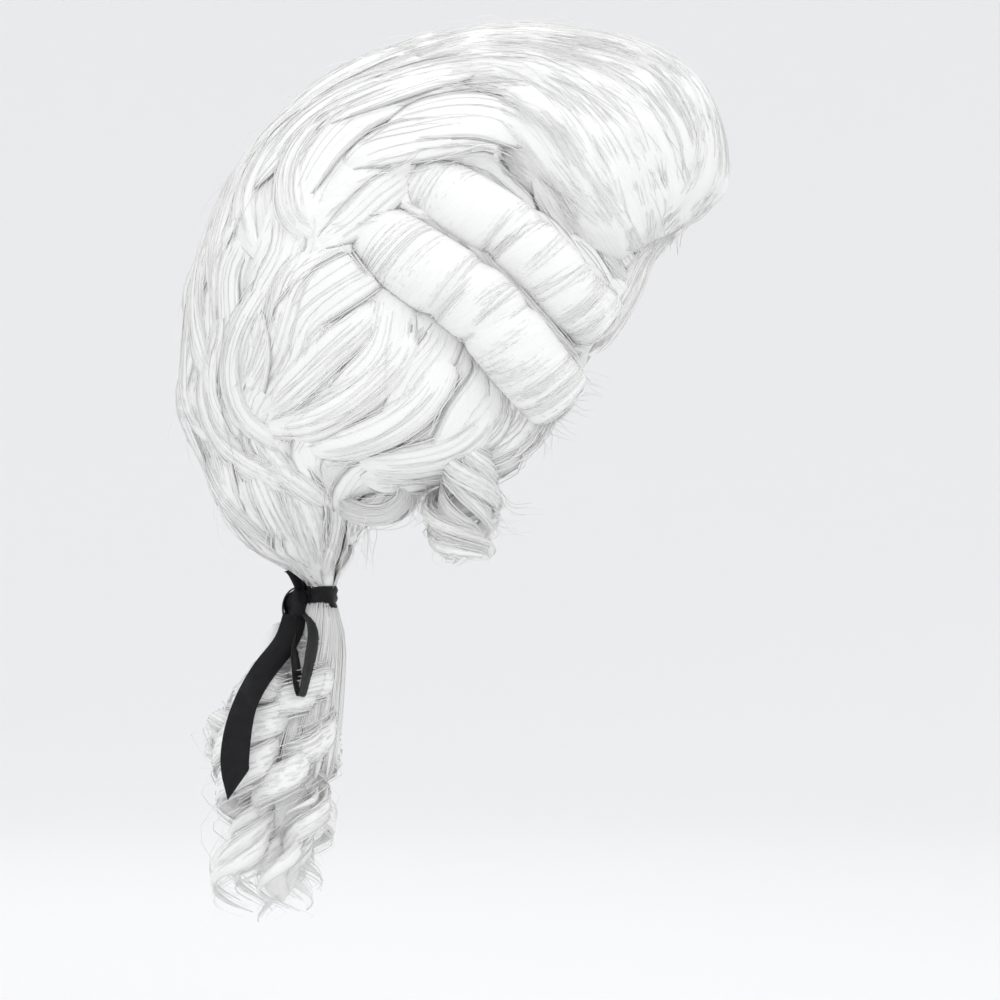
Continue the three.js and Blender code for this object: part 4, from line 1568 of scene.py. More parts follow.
@dataclass(frozen=True)
class CurlRoot:
    """Hair that leaves the back hair and turns onto the rear end of a curl.

    Attributes:
        curl: the curl that it turns onto.
        starts: places (x, z) where its locks leave the hair.
        turns: angles round the curl where they reach it.
        seed: seed of its chance.
    """

    curl: SausageCurl
    starts: tuple[tuple[float, float], ...]
    turns: tuple[float, ...]
    seed: int

    def add_to(self, mesh: HairMesh, surface: Surface) -> None:
        """Adds the locks to a mesh.

        Args:
            mesh: where they go.
            surface: the hair that they leave.
        """
        rng = np.random.default_rng(self.seed)
        curl = self.curl
        for (x, z), turn in zip(self.starts, self.turns):
            root = surface.from_side(x, z, curl.side)
            if root is None:
                root = surface.snap(np.array([[x, curl.side.value * 60.0, z]]))[0][0]
            facing = surface.snap(root[None])[1][0]
            root = root - 2.5 * facing
            place = np.array([0.03, 0.08, 0.14, 0.20])
            angle = -curl.side.value * (turn - np.array([0.0, 0.5, 1.1, 1.9]))
            wrap = curl.spot(place, angle, 1.02)
            normal = unit(wrap - curl.spot(place, angle, 0.0))
            middle = 0.5 * (root + wrap[0]) + 3.0 * facing
            share = np.linspace(0, 1, CURL_POINTS)
            mesh.add(Tress(
                centre=spline(np.concatenate([[root, middle], wrap]), CURL_POINTS),
                normal=unit(spline(np.concatenate([[facing, facing], normal]), CURL_POINTS)),
                half_width=rng.uniform(6.0, 8.5) * (0.55 + 0.45 * np.sin(np.pi * share)),
                thickness=rng.uniform(0.8, 1.5), strands=14, radius=0.24, tone=rng.uniform(0.55, 0.8), frizz=0.2,
                sink=3.0, layer=rng.uniform(0.0, 0.8),
            ))


@dataclass
class Wisps:
    """Single hairs that stand off the wig.

    Attributes:
        count: how many there are.
        seed: seed of their chance.
    """

    count: int = 130
    seed: int = 91

    def build(self, surface: Surface, comb: Comb, hair: bpy.types.Material) -> bpy.types.Object:
        """Makes the wisps as one piece.

        Args:
            surface: the hair they leave.
            comb: the direction of the hair.
            hair: the strands' material.

        Returns:
            The finished piece.
        """
        rng = np.random.default_rng(self.seed)
        mesh = HairMesh(rings=16, rng=rng)
        spots = surface.seeds(12 * self.count, rng)[0]
        facing = surface.snap(spots)[1]
        outer = (np.sum(unit(spots - MIDDLE) * facing, axis=1) > 0.3) & (spots[:, 2] > -215) & (spots[:, 0] < 85)
        spots, facing = spots[outer][: self.count], facing[outer][: self.count]
        way = comb.direction(spots, facing)
        share = np.linspace(0, 1, WISP_POINTS)[:, None]
        for spot, normal, along in zip(spots, facing, way):
            across = np.cross(normal, along)
            length = rng.uniform(14, 38)
            curl = rng.uniform(-1.0, 1.0)
            lift = rng.uniform(1.5, 6.0)
            line = (
                spot
                + along * length * share
                + across * length * 0.35 * curl * share**2
                + normal * (lift * np.sin(0.9 * np.pi * share) - 1.0 + 2.2 * share)
            )
            mesh.add(Tress(
                centre=line, normal=normal, half_width=0.8, thickness=0.3, strands=1, radius=0.13, tone=0.85,
                frizz=0.2, sink=1.0, body=False,
            ))
        for side in Side:
            self.edge_hairs(mesh, side, rng)
        piece = mesh.build("wisps", hair)
        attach(piece, "root")
        report(piece)
        return piece

    def edge_hairs(self, mesh: HairMesh, side: Side, rng: np.random.Generator) -> None:
        """Adds the fine hairs that hang from the lower edge.

        Args:
            mesh: where they go.
            side: the side they hang on.
            rng: the source of chance.
        """
        # Columns: root x, z; tip x, z; how far they bow
        rows = (
            (-58, -205, -57, -238, 3), (-54, -203, -52, -232, -3), (-61, -206, -62, -226, 2), (-30, -190, -34, -214, 5),
            (-24, -188, -26, -212, -4), (15, -196, 36, -204, -6), (10, -202, 30, -214, -7), (42, -146, 64, -152, -5),
            (44, -140, 68, -147, 5), (36, -152, 58, -168, -6), (30, -160, 36, -180, 4), (-14, -190, -20, -206, 4),
        )
        share = np.linspace(0, 1, WISP_POINTS)
        for x0, z0, x1, z1, bow in rows:
            x = x0 + (x1 - x0) * share + bow * np.sin(np.pi * share)
            y = side.value * (72.0 + 3.0 * share + rng.normal(0, 1.5))
            z = z0 + (z1 - z0) * share + 0.4 * bow * np.sin(np.pi * share)
            mesh.add(Tress(
                centre=np.stack([x, y, z], axis=1), normal=np.array([0.0, side.value, 0.0]), half_width=2.2,
                thickness=0.8, strands=3, radius=0.15, tone=0.8, ragged=0.35, frizz=0.8, sink=0.0, body=False,
            ))


@dataclass
class Coil:
    """A corkscrew line about a bent axis.

    Attributes:
        axis: points of the axis, top first.
        radius: half width of the coil along the axis.
        turns: how often it winds.
        phase: where the winding starts, in turns.
        hand: 1 or -1, the way it winds.
    """

    axis: np.ndarray
    radius: np.ndarray
    turns: float
    phase: float
    hand: int = 1

    def line(self, count: int) -> tuple[np.ndarray, np.ndarray]:
        """Draws the coil.

        Args:
            count: how many points.

        Returns:
            The points and the directions away from the axis.
        """
        axis = spline(self.axis, count)
        way = unit(np.gradient(axis, axis=0))
        first = unit(np.cross(way, np.array([0.0, 1.0, 0.0])))
        second = np.cross(way, first)
        angle = 2 * np.pi * (self.phase + self.hand * self.turns * np.linspace(0, 1, count))
        radius = np.interp(np.linspace(0, 1, count), np.linspace(0, 1, len(self.radius)), self.radius)
        out = np.cos(angle)[:, None] * first + np.sin(angle)[:, None] * second
        return axis + radius[:, None] * out, out


def ringlet(coil: Coil, half: float, thick: float, strands: int, tone: float, ragged: float = 0.1) -> Tress:
    """Makes a ribbon-like corkscrew lock.

    Args:
        coil: the lock's path.
        half: half its width.
        thick: its thickness.
        strands: how many strands it holds.
        tone: how light it is.
        ragged: share of the length over which strands end.

    Returns:
        The lock.
    """
    centre, out = coil.line(COIL_POINTS)
    share = np.linspace(0, 1, COIL_POINTS)
    width = half * np.clip(0.12 + 3.2 * share, 0, 1) * np.clip(0.25 + 4.5 * (1 - share), 0, 1)
    return Tress(
        centre=centre, normal=out, half_width=width, thickness=thick, strands=strands, radius=0.32, tone=tone,
        ragged=ragged, frizz=0.14, sink=0.0,
    )


@dataclass
class LooseCurls:
    """The hanging ringlet and the curl at the nape, on one side."""

    side: Side
    seed: int

    def ear(self, hair: bpy.types.Material) -> bpy.types.Object:
        """Makes the hanging ringlet.

        Args:
            hair: the strands' material.

        Returns:
            The finished piece.
        """
        rng = np.random.default_rng(self.seed)
        mesh = HairMesh(rings=24, rng=rng, body_rings=32)
        y = self.side.value * 75.0
        axis = np.array([(0.0, y, -168.0), (-4.0, y, -188.0), (-6.0, y, -210.0), (-3.0, y, -229.0)])
        kinds = (
            (1.6, 0.55, 13.5, 7.0, 30), (1.2, 0.10, 9.5, 5.5, 22), (1.8, 0.85, 15.5, 4.0, 18),
            (1.4, 0.30, 17.0, 2.0, 9), (1.1, 0.70, 12.0, 5.0, 20),
        )
        for turns, phase, radius, half, count in kinds:
            coil = Coil(axis, np.array([5.0, radius, radius * 1.05, radius * 0.75]), turns, phase, self.side.value)
            lock = ringlet(coil, half, 1.8, count, rng.uniform(0.5, 0.8), 0.2)
            mesh.add(lock)
            mesh.add(replace(lock, strands=9, half_width=lock.half_width * 1.5, thickness=lock.thickness * 2.6,
                             frizz=0.9, radius=0.17, ragged=0.5, body=False))
        return self.finish(mesh, "ear_ringlet", hair)

    def nape(self, hair: bpy.types.Material) -> bpy.types.Object:
        """Makes the C-shaped curl at the nape.

        Args:
            hair: the strands' material.

        Returns:
            The finished piece.
        """
        rng = np.random.default_rng(self.seed + 1)
        mesh = HairMesh(rings=20, rng=rng, body_rings=28)
        # Columns: x, z, how far out from the middle plane, half width
        rows = np.array([
            (-78, -186, 60, 3.0), (-68, -199, 65, 6.0), (-54, -206, 69, 7.0), (-41, -205, 72, 6.5),
            (-33, -197, 73, 5.5), (-34, -187, 73, 4.5), (-42, -184, 72, 3.5), (-47, -191, 71, 2.5),
        ])
        above = np.array([
            (-26, -180, 66, 4.0), (-40, -185, 67, 7.0), (-56, -187, 66, 8.0), (-72, -182, 63, 7.0), (-84, -172, 60, 4.0),
        ])
        line = spline(above, 30)
        mesh.add(Tress(
            centre=np.stack([line[:, 0], self.side.value * line[:, 2], line[:, 1]], axis=1),
            normal=np.array([0.0, self.side.value, 0.0]), half_width=line[:, 3], thickness=2.0, strands=20,
            radius=0.27, tone=0.65,
        ))
        for grow, count in ((1.0, 34), (0.55, 20)):
            line = spline(rows, 44)
            middle = np.array([-48.0, -190.0])
            x, z = (middle[:, None] + (line[:, :2].T - middle[:, None]) * (0.62 + 0.38 * grow))
            centre = np.stack([x, self.side.value * (line[:, 2] + 2.0 * (1 - grow)), z], axis=1)
            out = unit(np.stack([x - middle[0], np.full(44, self.side.value * 11.0), z - middle[1]], axis=1))
            lock = Tress(
                centre=centre, normal=out, half_width=line[:, 3] * grow, thickness=1.8, strands=count, radius=0.3,
                tone=rng.uniform(0.5, 0.85), sink=0.4,
            )
            mesh.add(lock)
            mesh.add(replace(lock, strands=10, half_width=lock.half_width * 1.5, frizz=0.8, radius=0.17,
                             ragged=0.4, body=False))
        return self.finish(mesh, "nape_curl", hair)

    def finish(self, mesh: HairMesh, node: str, hair: bpy.types.Material) -> bpy.types.Object:
        """Turns the locks into the piece that stands for a solid.

        Args:
            mesh: the locks.
            node: name of the solid without the side.
            hair: the strands' material.

        Returns:
            The finished piece.
        """
        name = f"{node}_{self.side.word}"
        return hand_over(mesh.build(name + "_hair", hair), name)


@dataclass
class Queue:
    """The tied tail of corkscrew locks.

    Attributes:
        seed: seed of its chance.
        fan: how many straight locks fan out below the ribbon.
    """

    seed: int = 78
    fan: int = 16

    def build(self, hair: bpy.types.Material) -> bpy.types.Object:
        """Makes the queue's ringlets, its straight upper hair and its core.

        Args:
            hair: the strands' material.

        Returns:
            The finished piece.
        """
        rng = np.random.default_rng(self.seed)
        mesh = HairMesh(rings=38, rng=rng, body_rings=64)
        # Columns: top x, y; middle x, y; foot x, z; coil radius; turns; half width
        rows = (
            (-84, -3, -104, -14, -112, -376, 9, 4.4, 6.5), (-80, 4, -102, 15, -108, -388, 9, 4.6, 6.5),
            (-77, -4, -90, -19, -97, -402, 10, 4.8, 7.0), (-77, 4, -90, 19, -96, -404, 10, 4.8, 7.0),
            (-73, -3, -80, -13, -84, -392, 9, 4.8, 6.5), (-73, 3, -80, 13, -82, -382, 9, 4.6, 6.5),
            (-73, 0, -86, 0, -92, -404, 9, 5.0, 6.5), (-84, 0, -112, 0, -122, -364, 9, 3.8, 6.0),
            (-77, -3, -100, -8, -110, -403, 10, 5.0, 6.5), (-77, 3, -96, 9, -100, -396, 10, 5.0, 6.5),
            (-84, -2, -116, -10, -135, -322, 7, 2.8, 5.0), (-84, 2, -114, 12, -130, -334, 7, 3.0, 5.0),
            (-75, -4, -84, -20, -88, -356, 8, 3.6, 5.5), (-80, -4, -108, -20, -119, -398, 11, 4.4, 7.0),
            (-80, 4, -108, 20, -116, -392, 11, 4.4, 7.0), (-82, -3, -106, -16, -115, -404, 14, 3.4, 8.0),
            (-76, 3, -90, 16, -94, -406, 13, 3.6, 8.0), (-78, 0, -98, 0, -104, -410, 5, 5.4, 7.0),
            (-74, -2, -84, -8, -88, -398, 5, 5.0, 7.0),
        )
        for tx, ty, mx, my, fx, fz, radius, turns, half in rows:
            half_way = ((mx + fx) / 2 + rng.normal(0, 3), my + rng.normal(0, 3), (TIE_Z - 54 + fz) / 2)
            axis = np.array([
                (tx, ty, TIE_Z - 8), ((tx + mx) / 2, (ty + my) / 2, TIE_Z - 30), (mx, my, TIE_Z - 54), half_way,
                (fx, my, fz),
            ], float)
            swell = np.array([0.5, 2.5, radius, radius * 1.15, radius * 0.9])
            coil = Coil(axis, swell, turns, rng.uniform(0, 1), 1 if my < 0 else -1)
            lock = ringlet(coil, half * 1.12, 3.2, 13, rng.uniform(0.6, 0.9))
            mesh.add(lock)
            loose = 0.7 + 1.1 * np.linspace(0, 1, len(lock.centre))
            mesh.add(replace(
                lock, strands=4, half_width=lock.half_width * loose, thickness=lock.thickness * loose, frizz=0.5,
                radius=0.2, body=False,
            ))
        upper = self.upper(rng)
        piece = join(mesh.build("queue_hair", hair), upper.build("queue_upper", hair), self.core(hair))
        return hand_over(piece, "queue")

    def upper(self, rng: np.random.Generator) -> HairMesh:
        """Makes the straight hair that fans out below the ribbon.

        Args:
            rng: the source of chance.

        Returns:
            The hair, not yet built.
        """
        mesh = HairMesh(rings=10, rng=rng, body_rings=14)
        share = np.linspace(0, 1, CURL_POINTS)
        swell = np.interp(share, [0, 0.1, 0.35, 0.7, 1], [6.0, 7.5, 15, 21, 24])
        back = np.interp(share, [0, 0.2, 1], [TIE_X, TIE_X - 1, TIE_X - 19])
        middle = np.stack([back, np.zeros(CURL_POINTS), TIE_Z + 4 - 92 * share], axis=1)
        for k in range(self.fan):
            angle = 2 * np.pi * k / self.fan
            out = np.array([math.cos(angle), math.sin(angle), 0.0])
            mesh.add(Tress(
                centre=middle + swell[:, None] * out, normal=out,
                half_width=np.interp(share, [0, 0.2, 1], [1.6, 3.0, 6.0]), thickness=1.2, strands=14, radius=0.4,
                tone=rng.uniform(0.45, 0.85), ragged=0.05, sink=0.6,
            ))
        return mesh

    def core(self, hair: bpy.types.Material) -> bpy.types.Object:
        """Makes the smooth core inside the locks.

        Args:
            hair: the fibre's material.

        Returns:
            The core as an object.
        """
        select_only()
        bpy.ops.mesh.primitive_uv_sphere_add(segments=24, ring_count=16, radius=1.0)
        base = bpy.context.view_layer.objects.active
        base.scale = (0.016, 0.017, 0.070)
        base.location = (-0.098, 0.0, -0.330)
        bpy.ops.object.transform_apply(location=True, rotation=True, scale=True)
        bpy.ops.object.shade_smooth()
        places = mesh_arrays(base)[0]
        around = np.arctan2(places[:, 1], places[:, 0] + 96.0) * 13.0
        lay_fibre(base, np.stack([around, places[:, 2]], axis=1), np.full(len(places), 0.6))
        base.data.materials.append(hair)
        return base


@dataclass
class Cap:
    """The net cap under the hair.

    Attributes:
        wall: its thickness.
        lowest: height below which its facets stay as they are.
    """

    wall: float = CAP_WALL
    lowest: float = -132.0

    def build(self, net: bpy.types.Material) -> bpy.types.Object:
        """Makes the cap round and gives it its net.

        Args:
            net: the net's material.

        Returns:
            The finished piece.
        """
        piece = link_new("wig_cap_net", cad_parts["wig_cap"].data.copy())
        piece.data.materials.clear()
        piece.data.materials.append(net)
        select_only(piece)
        bpy.ops.object.mode_set(mode="EDIT")
        bpy.ops.mesh.select_all(action="SELECT")
        bpy.ops.mesh.remove_doubles(threshold=0.00001)
        bpy.ops.mesh.subdivide(number_cuts=2)
        bpy.ops.object.mode_set(mode="OBJECT")
        points = mesh_arrays(piece)[0]
        for grow in (0.0, self.wall):
            away = points - MIDDLE
            deep = HEAD_HEIGHT * np.where(away[:, 2] > 0, CROWN_SHARE, 1 - CROWN_SHARE) + grow
            wide = np.broadcast_to([HEAD_LENGTH / 2 + grow, HEAD_BREADTH / 2 + grow], (len(away), 2))
            share = np.linalg.norm(away / np.column_stack([wide, deep]), axis=1)
            near = (share > 0.984) & (share < 1.003) & (points[:, 2] > self.lowest)
            points[near] = (MIDDLE + away / share[:, None])[near]
        piece.data.vertices.foreach_set("co", (points * MM).astype(np.float32).ravel())
        piece.data.update()
        select_only(piece)
        bpy.ops.object.shade_smooth_by_angle(angle=math.radians(35))
        return hand_over(piece, "wig_cap")


# Ribbon tail as shares of its 93 mm length; widths are shares of the ribbon's
# width. Columns: x, drop, out, width, tilt in degrees
TAIL_ROWS = np.array([
    (-0.013, 0.04, 0.07, 0.86, -12), (-0.054, 0.172, 0.15, 0.86, -20), (-0.16, 0.315, 0.237, 0.847, -28),
    (-0.219, 0.414, 0.333, 0.849, -15), (-0.262, 0.513, 0.409, 0.894, -2), (-0.291, 0.626, 0.452, 1.016, 10),
    (-0.305, 0.737, 0.478, 1.074, 15), (-0.305, 0.833, 0.484, 1.028, 20), (-0.291, 0.906, 0.487, 1.089, 49),
])
# Ribbon loop as shares of its 44 mm drop. Columns: x, drop, out
LOOP_ROWS = np.array([
    (0.0, 0.09, 0.06), (0.02, 0.284, 0.205), (-0.008, 0.466, 0.402), (0.009, 0.648, 0.559),
    (0.032, 0.852, 0.67), (0.072, 0.966, 0.727), (0.111, 0.875, 0.67), (0.145, 0.693, 0.605),
    (0.18, 0.466, 0.493), (0.197, 0.307, 0.402), (0.168, 0.148, 0.25), (0.08, 0.03, 0.06),
])


@dataclass
class Ribbon:
    """The satin ribbon tied round the queue.

    Attributes:
        width: width of the ribbon.
        thickness: thickness of the satin.
        tail: length from the knot to the tail's tip.
        loop: drop of a loop.
        knot: place (x, y, z) of the knot.
    """

    width: float = 14.0
    thickness: float = 0.4
    tail: float = 93.0
    loop: float = 44.0
    knot: tuple[float, float, float] = (-88.5, 0.0, -253.0)

    def strip(
        self, name: str, satin: bpy.types.Material, spots: np.ndarray, across: np.ndarray, length: float
    ) -> bpy.types.Object:
        """Makes a strip of ribbon from a grid of places.

        Args:
            name: the piece's name.
            satin: its material.
            spots: places as (along, across, 3).
            across: places across the ribbon at those columns, from -1 to 1.
            length: length of the strip, for the weave.

        Returns:
            The strip with its thickness.
        """
        along, wide = spots.shape[:2]
        select_only()
        bpy.ops.mesh.primitive_grid_add(x_subdivisions=wide - 1, y_subdivisions=along - 1, size=2)
        piece = bpy.context.view_layer.objects.active
        piece.name = name
        piece.data.name = name
        flat = mesh_arrays(piece)[0] * MM
        column = np.rint((flat[:, 0] + 1) / 2 * (wide - 1)).astype(int)
        row = np.rint((flat[:, 1] + 1) / 2 * (along - 1)).astype(int)
        points = spots[row, column]
        piece.data.vertices.foreach_set("co", (points * MM).astype(np.float32).ravel())
        piece.data.uv_layers[0].name = "fibre"
        corners = np.zeros(len(piece.data.loops), np.int32)
        piece.data.loops.foreach_get("vertex_index", corners)
        places = np.stack([across[column] * self.width / 2, row / (along - 1) * length], axis=1)
        piece.data.uv_layers[0].data.foreach_set("uv", places[corners].astype(np.float32).ravel())
        piece.data.materials.append(satin)
        piece.data.update()
        wall = piece.modifiers.new("wall", "SOLIDIFY")
        wall.thickness = self.thickness * MM
        wall.offset = 0.0
        select_only(piece)
        bpy.ops.object.modifier_apply(modifier="wall")
        bpy.ops.object.shade_smooth_by_angle(angle=math.radians(50))
        return piece

    def hanging_tail(self, side: Side, satin: bpy.types.Material) -> bpy.types.Object:
        """Makes the tail on one side.

        Args:
            side: the side it hangs on.
            satin: its material.

        Returns:
            The finished piece.
        """
        rows = spline(TAIL_ROWS, 72)
        across = np.linspace(-1, 1, 13)
        tilt = np.radians(rows[:, 4])
        t = np.linspace(0, 1, len(rows))
        # Creases across the ribbon, as (share of the length, height, width)
        crease = sum(high * np.exp(-(((t - at) / wide) ** 2)) for at, high, wide in (
            (0.20, 1.3, 0.045), (0.30, -0.9, 0.03), (0.42, 0.8, 0.04), (0.66, 0.7, 0.06), (0.86, -0.6, 0.05)))
        spots = np.zeros((len(rows), len(across), 3))
        for k, a in enumerate(across):
            wide = a * rows[:, 3] * self.width / 2
            curl = 1.1 * (1 - a * a) * (0.6 + 0.4 * np.sin(5 * t)) + crease * np.cos(1.1 * a + 3 * t)
            point = 1.4 * np.clip((t - 0.93) / 0.07, 0, 1) * (1 - a)
            spots[:, k, 0] = self.knot[0] + rows[:, 0] * self.tail + wide * np.cos(tilt)
            spots[:, k, 1] = side.value * (rows[:, 2] * self.tail + curl + 5.0 * np.sin(np.pi * np.clip(1.4 * t, 0, 1)))
            spots[:, k, 2] = self.knot[2] - rows[:, 1] * self.tail + wide * np.sin(tilt) - point
        length = float(np.linalg.norm(np.diff(spots[:, 6], axis=0), axis=1).sum())
        name = f"ribbon_tail_{side.word}"
        piece = hand_over(self.strip(name + "_satin", satin, spots, across, length), name)
        return piece

    def hanging_loop(self, side: Side, satin: bpy.types.Material) -> bpy.types.Object:
        """Makes the bow's loop on one side.

        Args:
            side: the side it hangs on.
            satin: its material.

        Returns:
            The finished piece.
        """
        rows = spline(LOOP_ROWS, 64)
        across = np.linspace(-1, 1, 11)
        t = np.linspace(0, 1, len(rows))
        middle = np.stack([
            self.knot[0] + rows[:, 0] * self.loop,
            -rows[:, 2] * self.loop,
            self.knot[2] - rows[:, 1] * self.loop,
        ], axis=1)
        way = unit(np.gradient(middle, axis=0))
        turn = np.array([math.sin(math.radians(20)), math.cos(math.radians(20)), 0.0])
        thick = unit(np.cross(way, turn))
        gather = 0.80 + 0.25 * np.sin(2 * np.pi * t) ** 2
        spots = np.zeros((len(rows), len(across), 3))
        for k, a in enumerate(across):
            fold = 0.8 * np.cos(2.4 * a + 2.0) * (1 - 0.6 * np.sin(np.pi * t))
            spots[:, k] = middle + (a * 0.45 * self.width * gather)[:, None] * turn + fold[:, None] * thick
        spots[..., 1] *= -side.value
        length = float(np.linalg.norm(np.diff(middle, axis=0), axis=1).sum())
        name = f"ribbon_loop_{side.word}"
        piece = hand_over(self.strip(name + "_satin", satin, spots, across, length), name)
        return piece

    def band(self, satin: bpy.types.Material) -> bpy.types.Object:
        """Makes the turns of ribbon round the hair.

        Args:
            satin: its material.

        Returns:
            The finished piece.
        """
        across = np.linspace(-1, 1, 13)
        wraps, inner, mean = 1.12, 7.1, 7.4
        turns = np.linspace(0, wraps, 100)
        angle = math.pi + 2 * np.pi * turns
        spots = np.zeros((len(turns), len(across), 3))
        for k, a in enumerate(across):
            pleat = 0.35 * np.cos(3 * np.pi * a + 0.6 * np.sin(angle)) + 0.2 * np.sin(5 * angle + 3 * a)
            reach = inner + 0.55 * turns + pleat
            spots[:, k, 0] = TIE_X + reach * np.cos(angle)
            spots[:, k, 1] = reach * np.sin(angle)
            spots[:, k, 2] = TIE_Z + a * self.width / 2 * (1 - 0.12 * np.cos(angle)) + 0.8 * np.cos(angle)
        length = 2 * math.pi * mean * wraps
        strip = self.strip("ribbon_band_satin", satin, spots, across, length)
        piece = hand_over(strip, "ribbon_band")
        return piece

    def tied_knot(self, satin: bpy.types.Material) -> bpy.types.Object:
        """Makes the knot: two crossing wraps of folded ribbon and a short end above.

        Args:
            satin: its material.

        Returns:
            The finished piece.
        """
        x, y, z = self.knot
        parts = []
        select_only()
        bpy.ops.mesh.primitive_uv_sphere_add(segments=48, ring_count=32, radius=1.0)
        ball = bpy.context.view_layer.objects.active
        points = mesh_arrays(ball)[0] * MM
        round_z = np.arctan2(points[:, 1], points[:, 0])
        folds = 0.07 * np.cos(6 * points[:, 1] + 2.5 * points[:, 2]) + 0.05 * np.sin(4 * round_z + 3 * points[:, 2])
        waist = 1 - 0.16 * np.exp(-((points[:, 2] / 0.28) ** 2)) * (np.abs(points[:, 1]) > 0.2)
        points = points * ((1 + folds) * waist)[:, None]
        points = points * np.array([6.6, 7.6, 9.6]) + np.array([x, y, z])
        ball.data.vertices.foreach_set("co", (points * MM).astype(np.float32).ravel())
        ball.data.uv_layers[0].name = "fibre"
        places = np.zeros(len(ball.data.loops) * 2, np.float32)
        ball.data.uv_layers[0].data.foreach_get("uv", places)
        ball.data.uv_layers[0].data.foreach_set("uv", places * 40)
        ball.data.materials.append(satin)
        ball.data.update()
        select_only(ball)
        bpy.ops.object.shade_smooth()
        parts.append(ball)
        across = np.linspace(-1, 1, 9)
        t = np.linspace(0, 1, 40)
        angle = np.radians(-115 + 470 * t)
        wrap = np.zeros((40, 9, 3))
        for k, a in enumerate(across):
            reach = 1.06 + 0.05 * t + 0.03 * np.cos(3 * np.pi * a)
            wrap[:, k, 0] = x + 7.0 * reach * np.cos(angle)
            wrap[:, k, 1] = y + 3.8 * a + 1.2 * np.sin(angle)
            wrap[:, k, 2] = z + 9.4 * reach * np.sin(angle)
        parts.append(self.strip("knot_wrap", satin, wrap, across, 60.0))
        t = np.linspace(0, 1, 24)
        for lean, tall in ((-1.0, 14.0), (0.55, 11.0)):
            end = np.zeros((24, 9, 3))
            for k, a in enumerate(across):
                end[:, k, 0] = x + 2.0 + lean * 4.5 * t + a * 3.6 * (0.45 + 0.75 * np.sin(0.5 * np.pi * t))
                end[:, k, 1] = y + 1.5 * np.cos(3 * a + lean) * (1 - 0.3 * t) + lean * 1.6
                end[:, k, 2] = z + 6.0 + tall * np.sin(0.5 * np.pi * t) - 2.0 * a * lean * t
            parts.append(self.strip("knot_end", satin, end, across, tall))
        for side in Side:
            fold = np.zeros((24, 9, 3))
            for k, a in enumerate(across):
                pleat = 1.3 * np.cos(1.5 * np.pi * a) * np.sin(np.pi * np.clip(t + 0.15, 0, 1))
                fold[:, k, 0] = x - 0.5 - 3.0 * t * t + a * (4.6 + 1.6 * t)
                fold[:, k, 1] = side.value * (2.5 + 12.0 * t + pleat)
                fold[:, k, 2] = z - 3.0 - 21.0 * t + 1.2 * a * t
            parts.append(self.strip("knot_fold", satin, fold, across, 26.0))
        join(*parts)
        ball.name = "ribbon_knot_satin"
        ball.data.name = "ribbon_knot_satin"
        return hand_over(ball, "ribbon_knot")


def studio() -> None:
    """Sets the camera, a pale floor that rises all round, and soft lights."""
    data = bpy.data.cameras.new("camera")
    data.lens, data.sensor_width = 144.0, 36.0
    camera = link_new("camera", data)
    camera.location = (0.0125, -2.0, -0.199)
    camera.rotation_euler = (math.pi / 2, 0.0, 0.0)
    bpy.context.scene.camera = camera

    level, flat, rise, sides = -0.52, 2.0, 1.7, 96
    bend = np.linspace(0.0, math.pi / 2, 24)
    sweep = np.stack([flat + rise * np.sin(bend), level + rise * (1 - np.cos(bend))], axis=1)
    points, faces = [(0.0, 0.0, level)], []
    for away, z in sweep:
        for k in range(sides):
            angle = 2 * math.pi * k / sides
            points.append((away * math.cos(angle), away * math.sin(angle), z))
    for k in range(sides):
        faces.append((0, 1 + k, 1 + (k + 1) % sides))
    for i in range(len(sweep) - 1):
        for k in range(sides):
            low, high, m = 1 + i * sides, 1 + (i + 1) * sides, (k + 1) % sides
            faces.append((low + k, high + k, high + m, low + m))
    mesh = bpy.data.meshes.new("backdrop")
    mesh.from_pydata(points, [], faces)
    floor = link_new("backdrop", mesh)
    select_only(floor)
    bpy.ops.object.shade_smooth()
    paper = bpy.data.materials.new("backdrop_paper")
    paper.use_nodes = True
    surface = paper.node_tree.nodes["Principled BSDF"]
    surface.inputs["Base Color"].default_value = (0.85, 0.85, 0.855, 1)
    surface.inputs["Roughness"].default_value = 0.9
    mesh.materials.append(paper)

    lights = (
        ("key", (0.9, -1.3, 1.3), 1.1, 8.0),
        ("fill", (-1.4, -1.6, 0.5), 1.4, 4.0),
        ("top", (0.0, 0.2, 1.7), 1.2, 4.0),
        ("rear", (-0.6, 1.5, 0.9), 1.2, 2.5),
    )
    for name, place, size, power in lights:
        lamp = bpy.data.lights.new(name, "AREA")
        lamp.size, lamp.energy = size, power
        holder = link_new(name, lamp)
        holder.location = place
        aim = Vector((0.0, 0.0, -0.15)) - Vector(place)
        holder.rotation_euler = aim.to_track_quat("-Z", "Y").to_euler()
    world = bpy.data.worlds.new("studio")
    bpy.context.scene.world = world
    world.use_nodes = True
    sky = world.node_tree.nodes["Background"]
    sky.inputs["Color"].default_value = (0.985, 0.99, 1.0, 1)
    sky.inputs["Strength"].default_value = 0.98
    bpy.context.scene.view_settings.view_transform = "Standard"


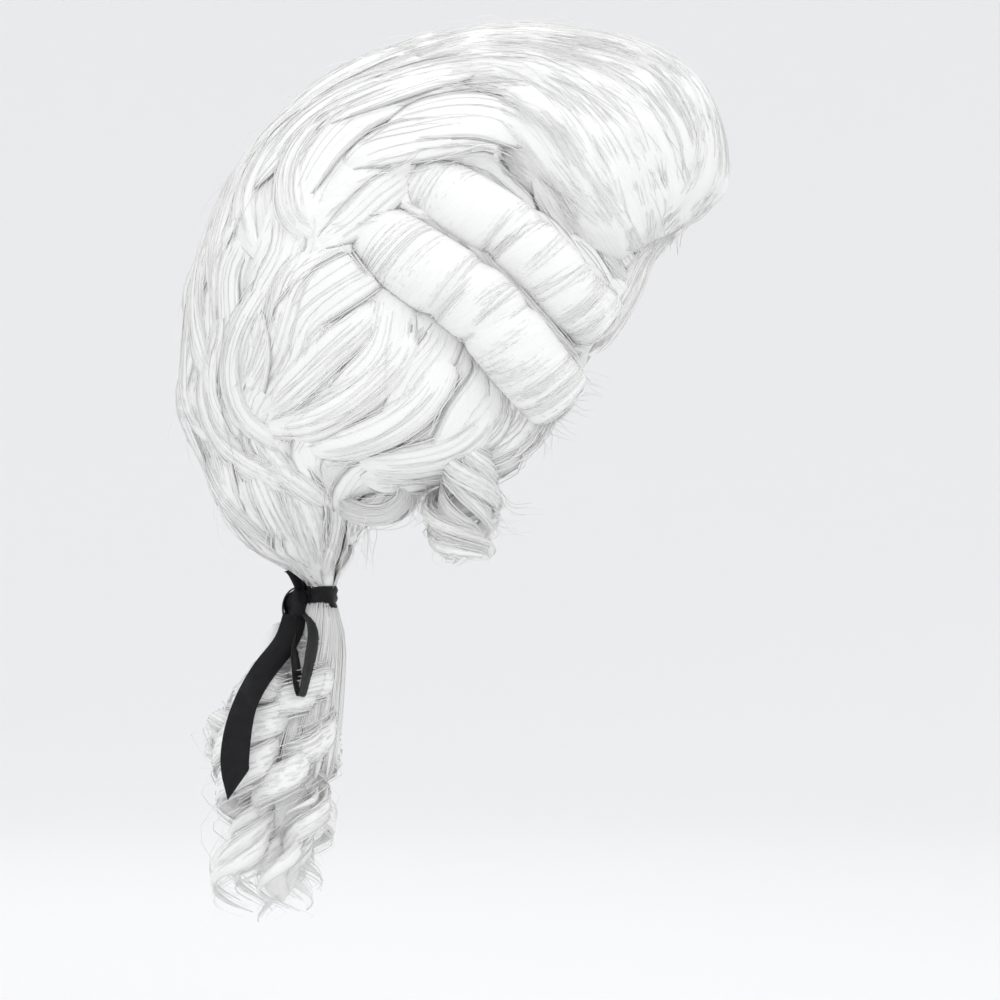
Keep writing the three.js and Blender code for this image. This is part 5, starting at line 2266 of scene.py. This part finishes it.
def main() -> None:
    """Builds the dressed wig in order and logs each piece."""
    logging.basicConfig(level=logging.INFO, format="%(message)s")
    studio()
    hair = HairFinish().material("white_fibre")
    satin = SatinFinish().material("black_satin_weave")
    net = NetFinish().material("cap_net")
    masses = ("foretop", "back_hair", "side_hair_right", "side_hair_left")
    whole = soft_copy("hair_surface", masses, 3.0, 10)
    surface = Surface(whole)
    bpy.data.objects.remove(whole)
    others = {name: Surface(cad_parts[name]) for name in masses}
    comb = Comb(surface)
    LOG.info("comb: %d points", len(comb.spots))
    for mass in (
        HairMass("foretop", 110, 11, (70, 160), (7.0, 13.0), 11, voxel=2.6, heap=(0.2, 0.6), rise=0.2, strand_rings=8,
                 layers=0.5, packed=False, ridge=0.3),
        HairMass("back_hair", 95, 9, (70, 125), (9.0, 15.0), 12, voxel=3.1, heap=(0.6, 1.3), wave=5.0, layers=1.0,
                 haze=160),
        HairMass("side_hair_right", 32, 8, (34, 66), (5.5, 8.5), 13, heap=(0.6, 1.4), haze=20),
        HairMass("side_hair_left", 32, 8, (34, 66), (5.5, 8.5), 14, heap=(0.6, 1.4), haze=20),
    ):
        mass.build(surface, comb, others, hair)
    SweepLayer("back_waves", "back_hair", BACK_SWEEPS, 15, 21).build(surface, hair)
    SweepLayer("temple_hair", "foretop", TEMPLE_SWEEPS, 16, 22, standoff=4.5).build(surface, hair)
    SweepLayer("ear_waves", "back_hair", EAR_SWEEPS, 24, 23, standoff=11.0).build(surface, hair)
    for side in Side:
        SausageCurl("side_curl_upper", UPPER_CURL_ROWS, (0.5,), UPPER_CURL_ROOTS, side, 31).build(surface, hair)
        SausageCurl("side_curl_lower", LOWER_CURL_ROWS, (0.45, 0.63), LOWER_CURL_ROOTS, side, 41).build(surface, hair)
        curls = LooseCurls(side, 51)
        curls.ear(hair)
        curls.nape(hair)
    Queue().build(hair)
    Wisps().build(surface, comb, hair)
    Cap().build(net)
    ribbon = Ribbon()
    ribbon.tied_knot(satin)
    ribbon.band(satin)
    for side in Side:
        ribbon.hanging_tail(side, satin)
        ribbon.hanging_loop(side, satin)


if __name__ == "__main__":
    main()
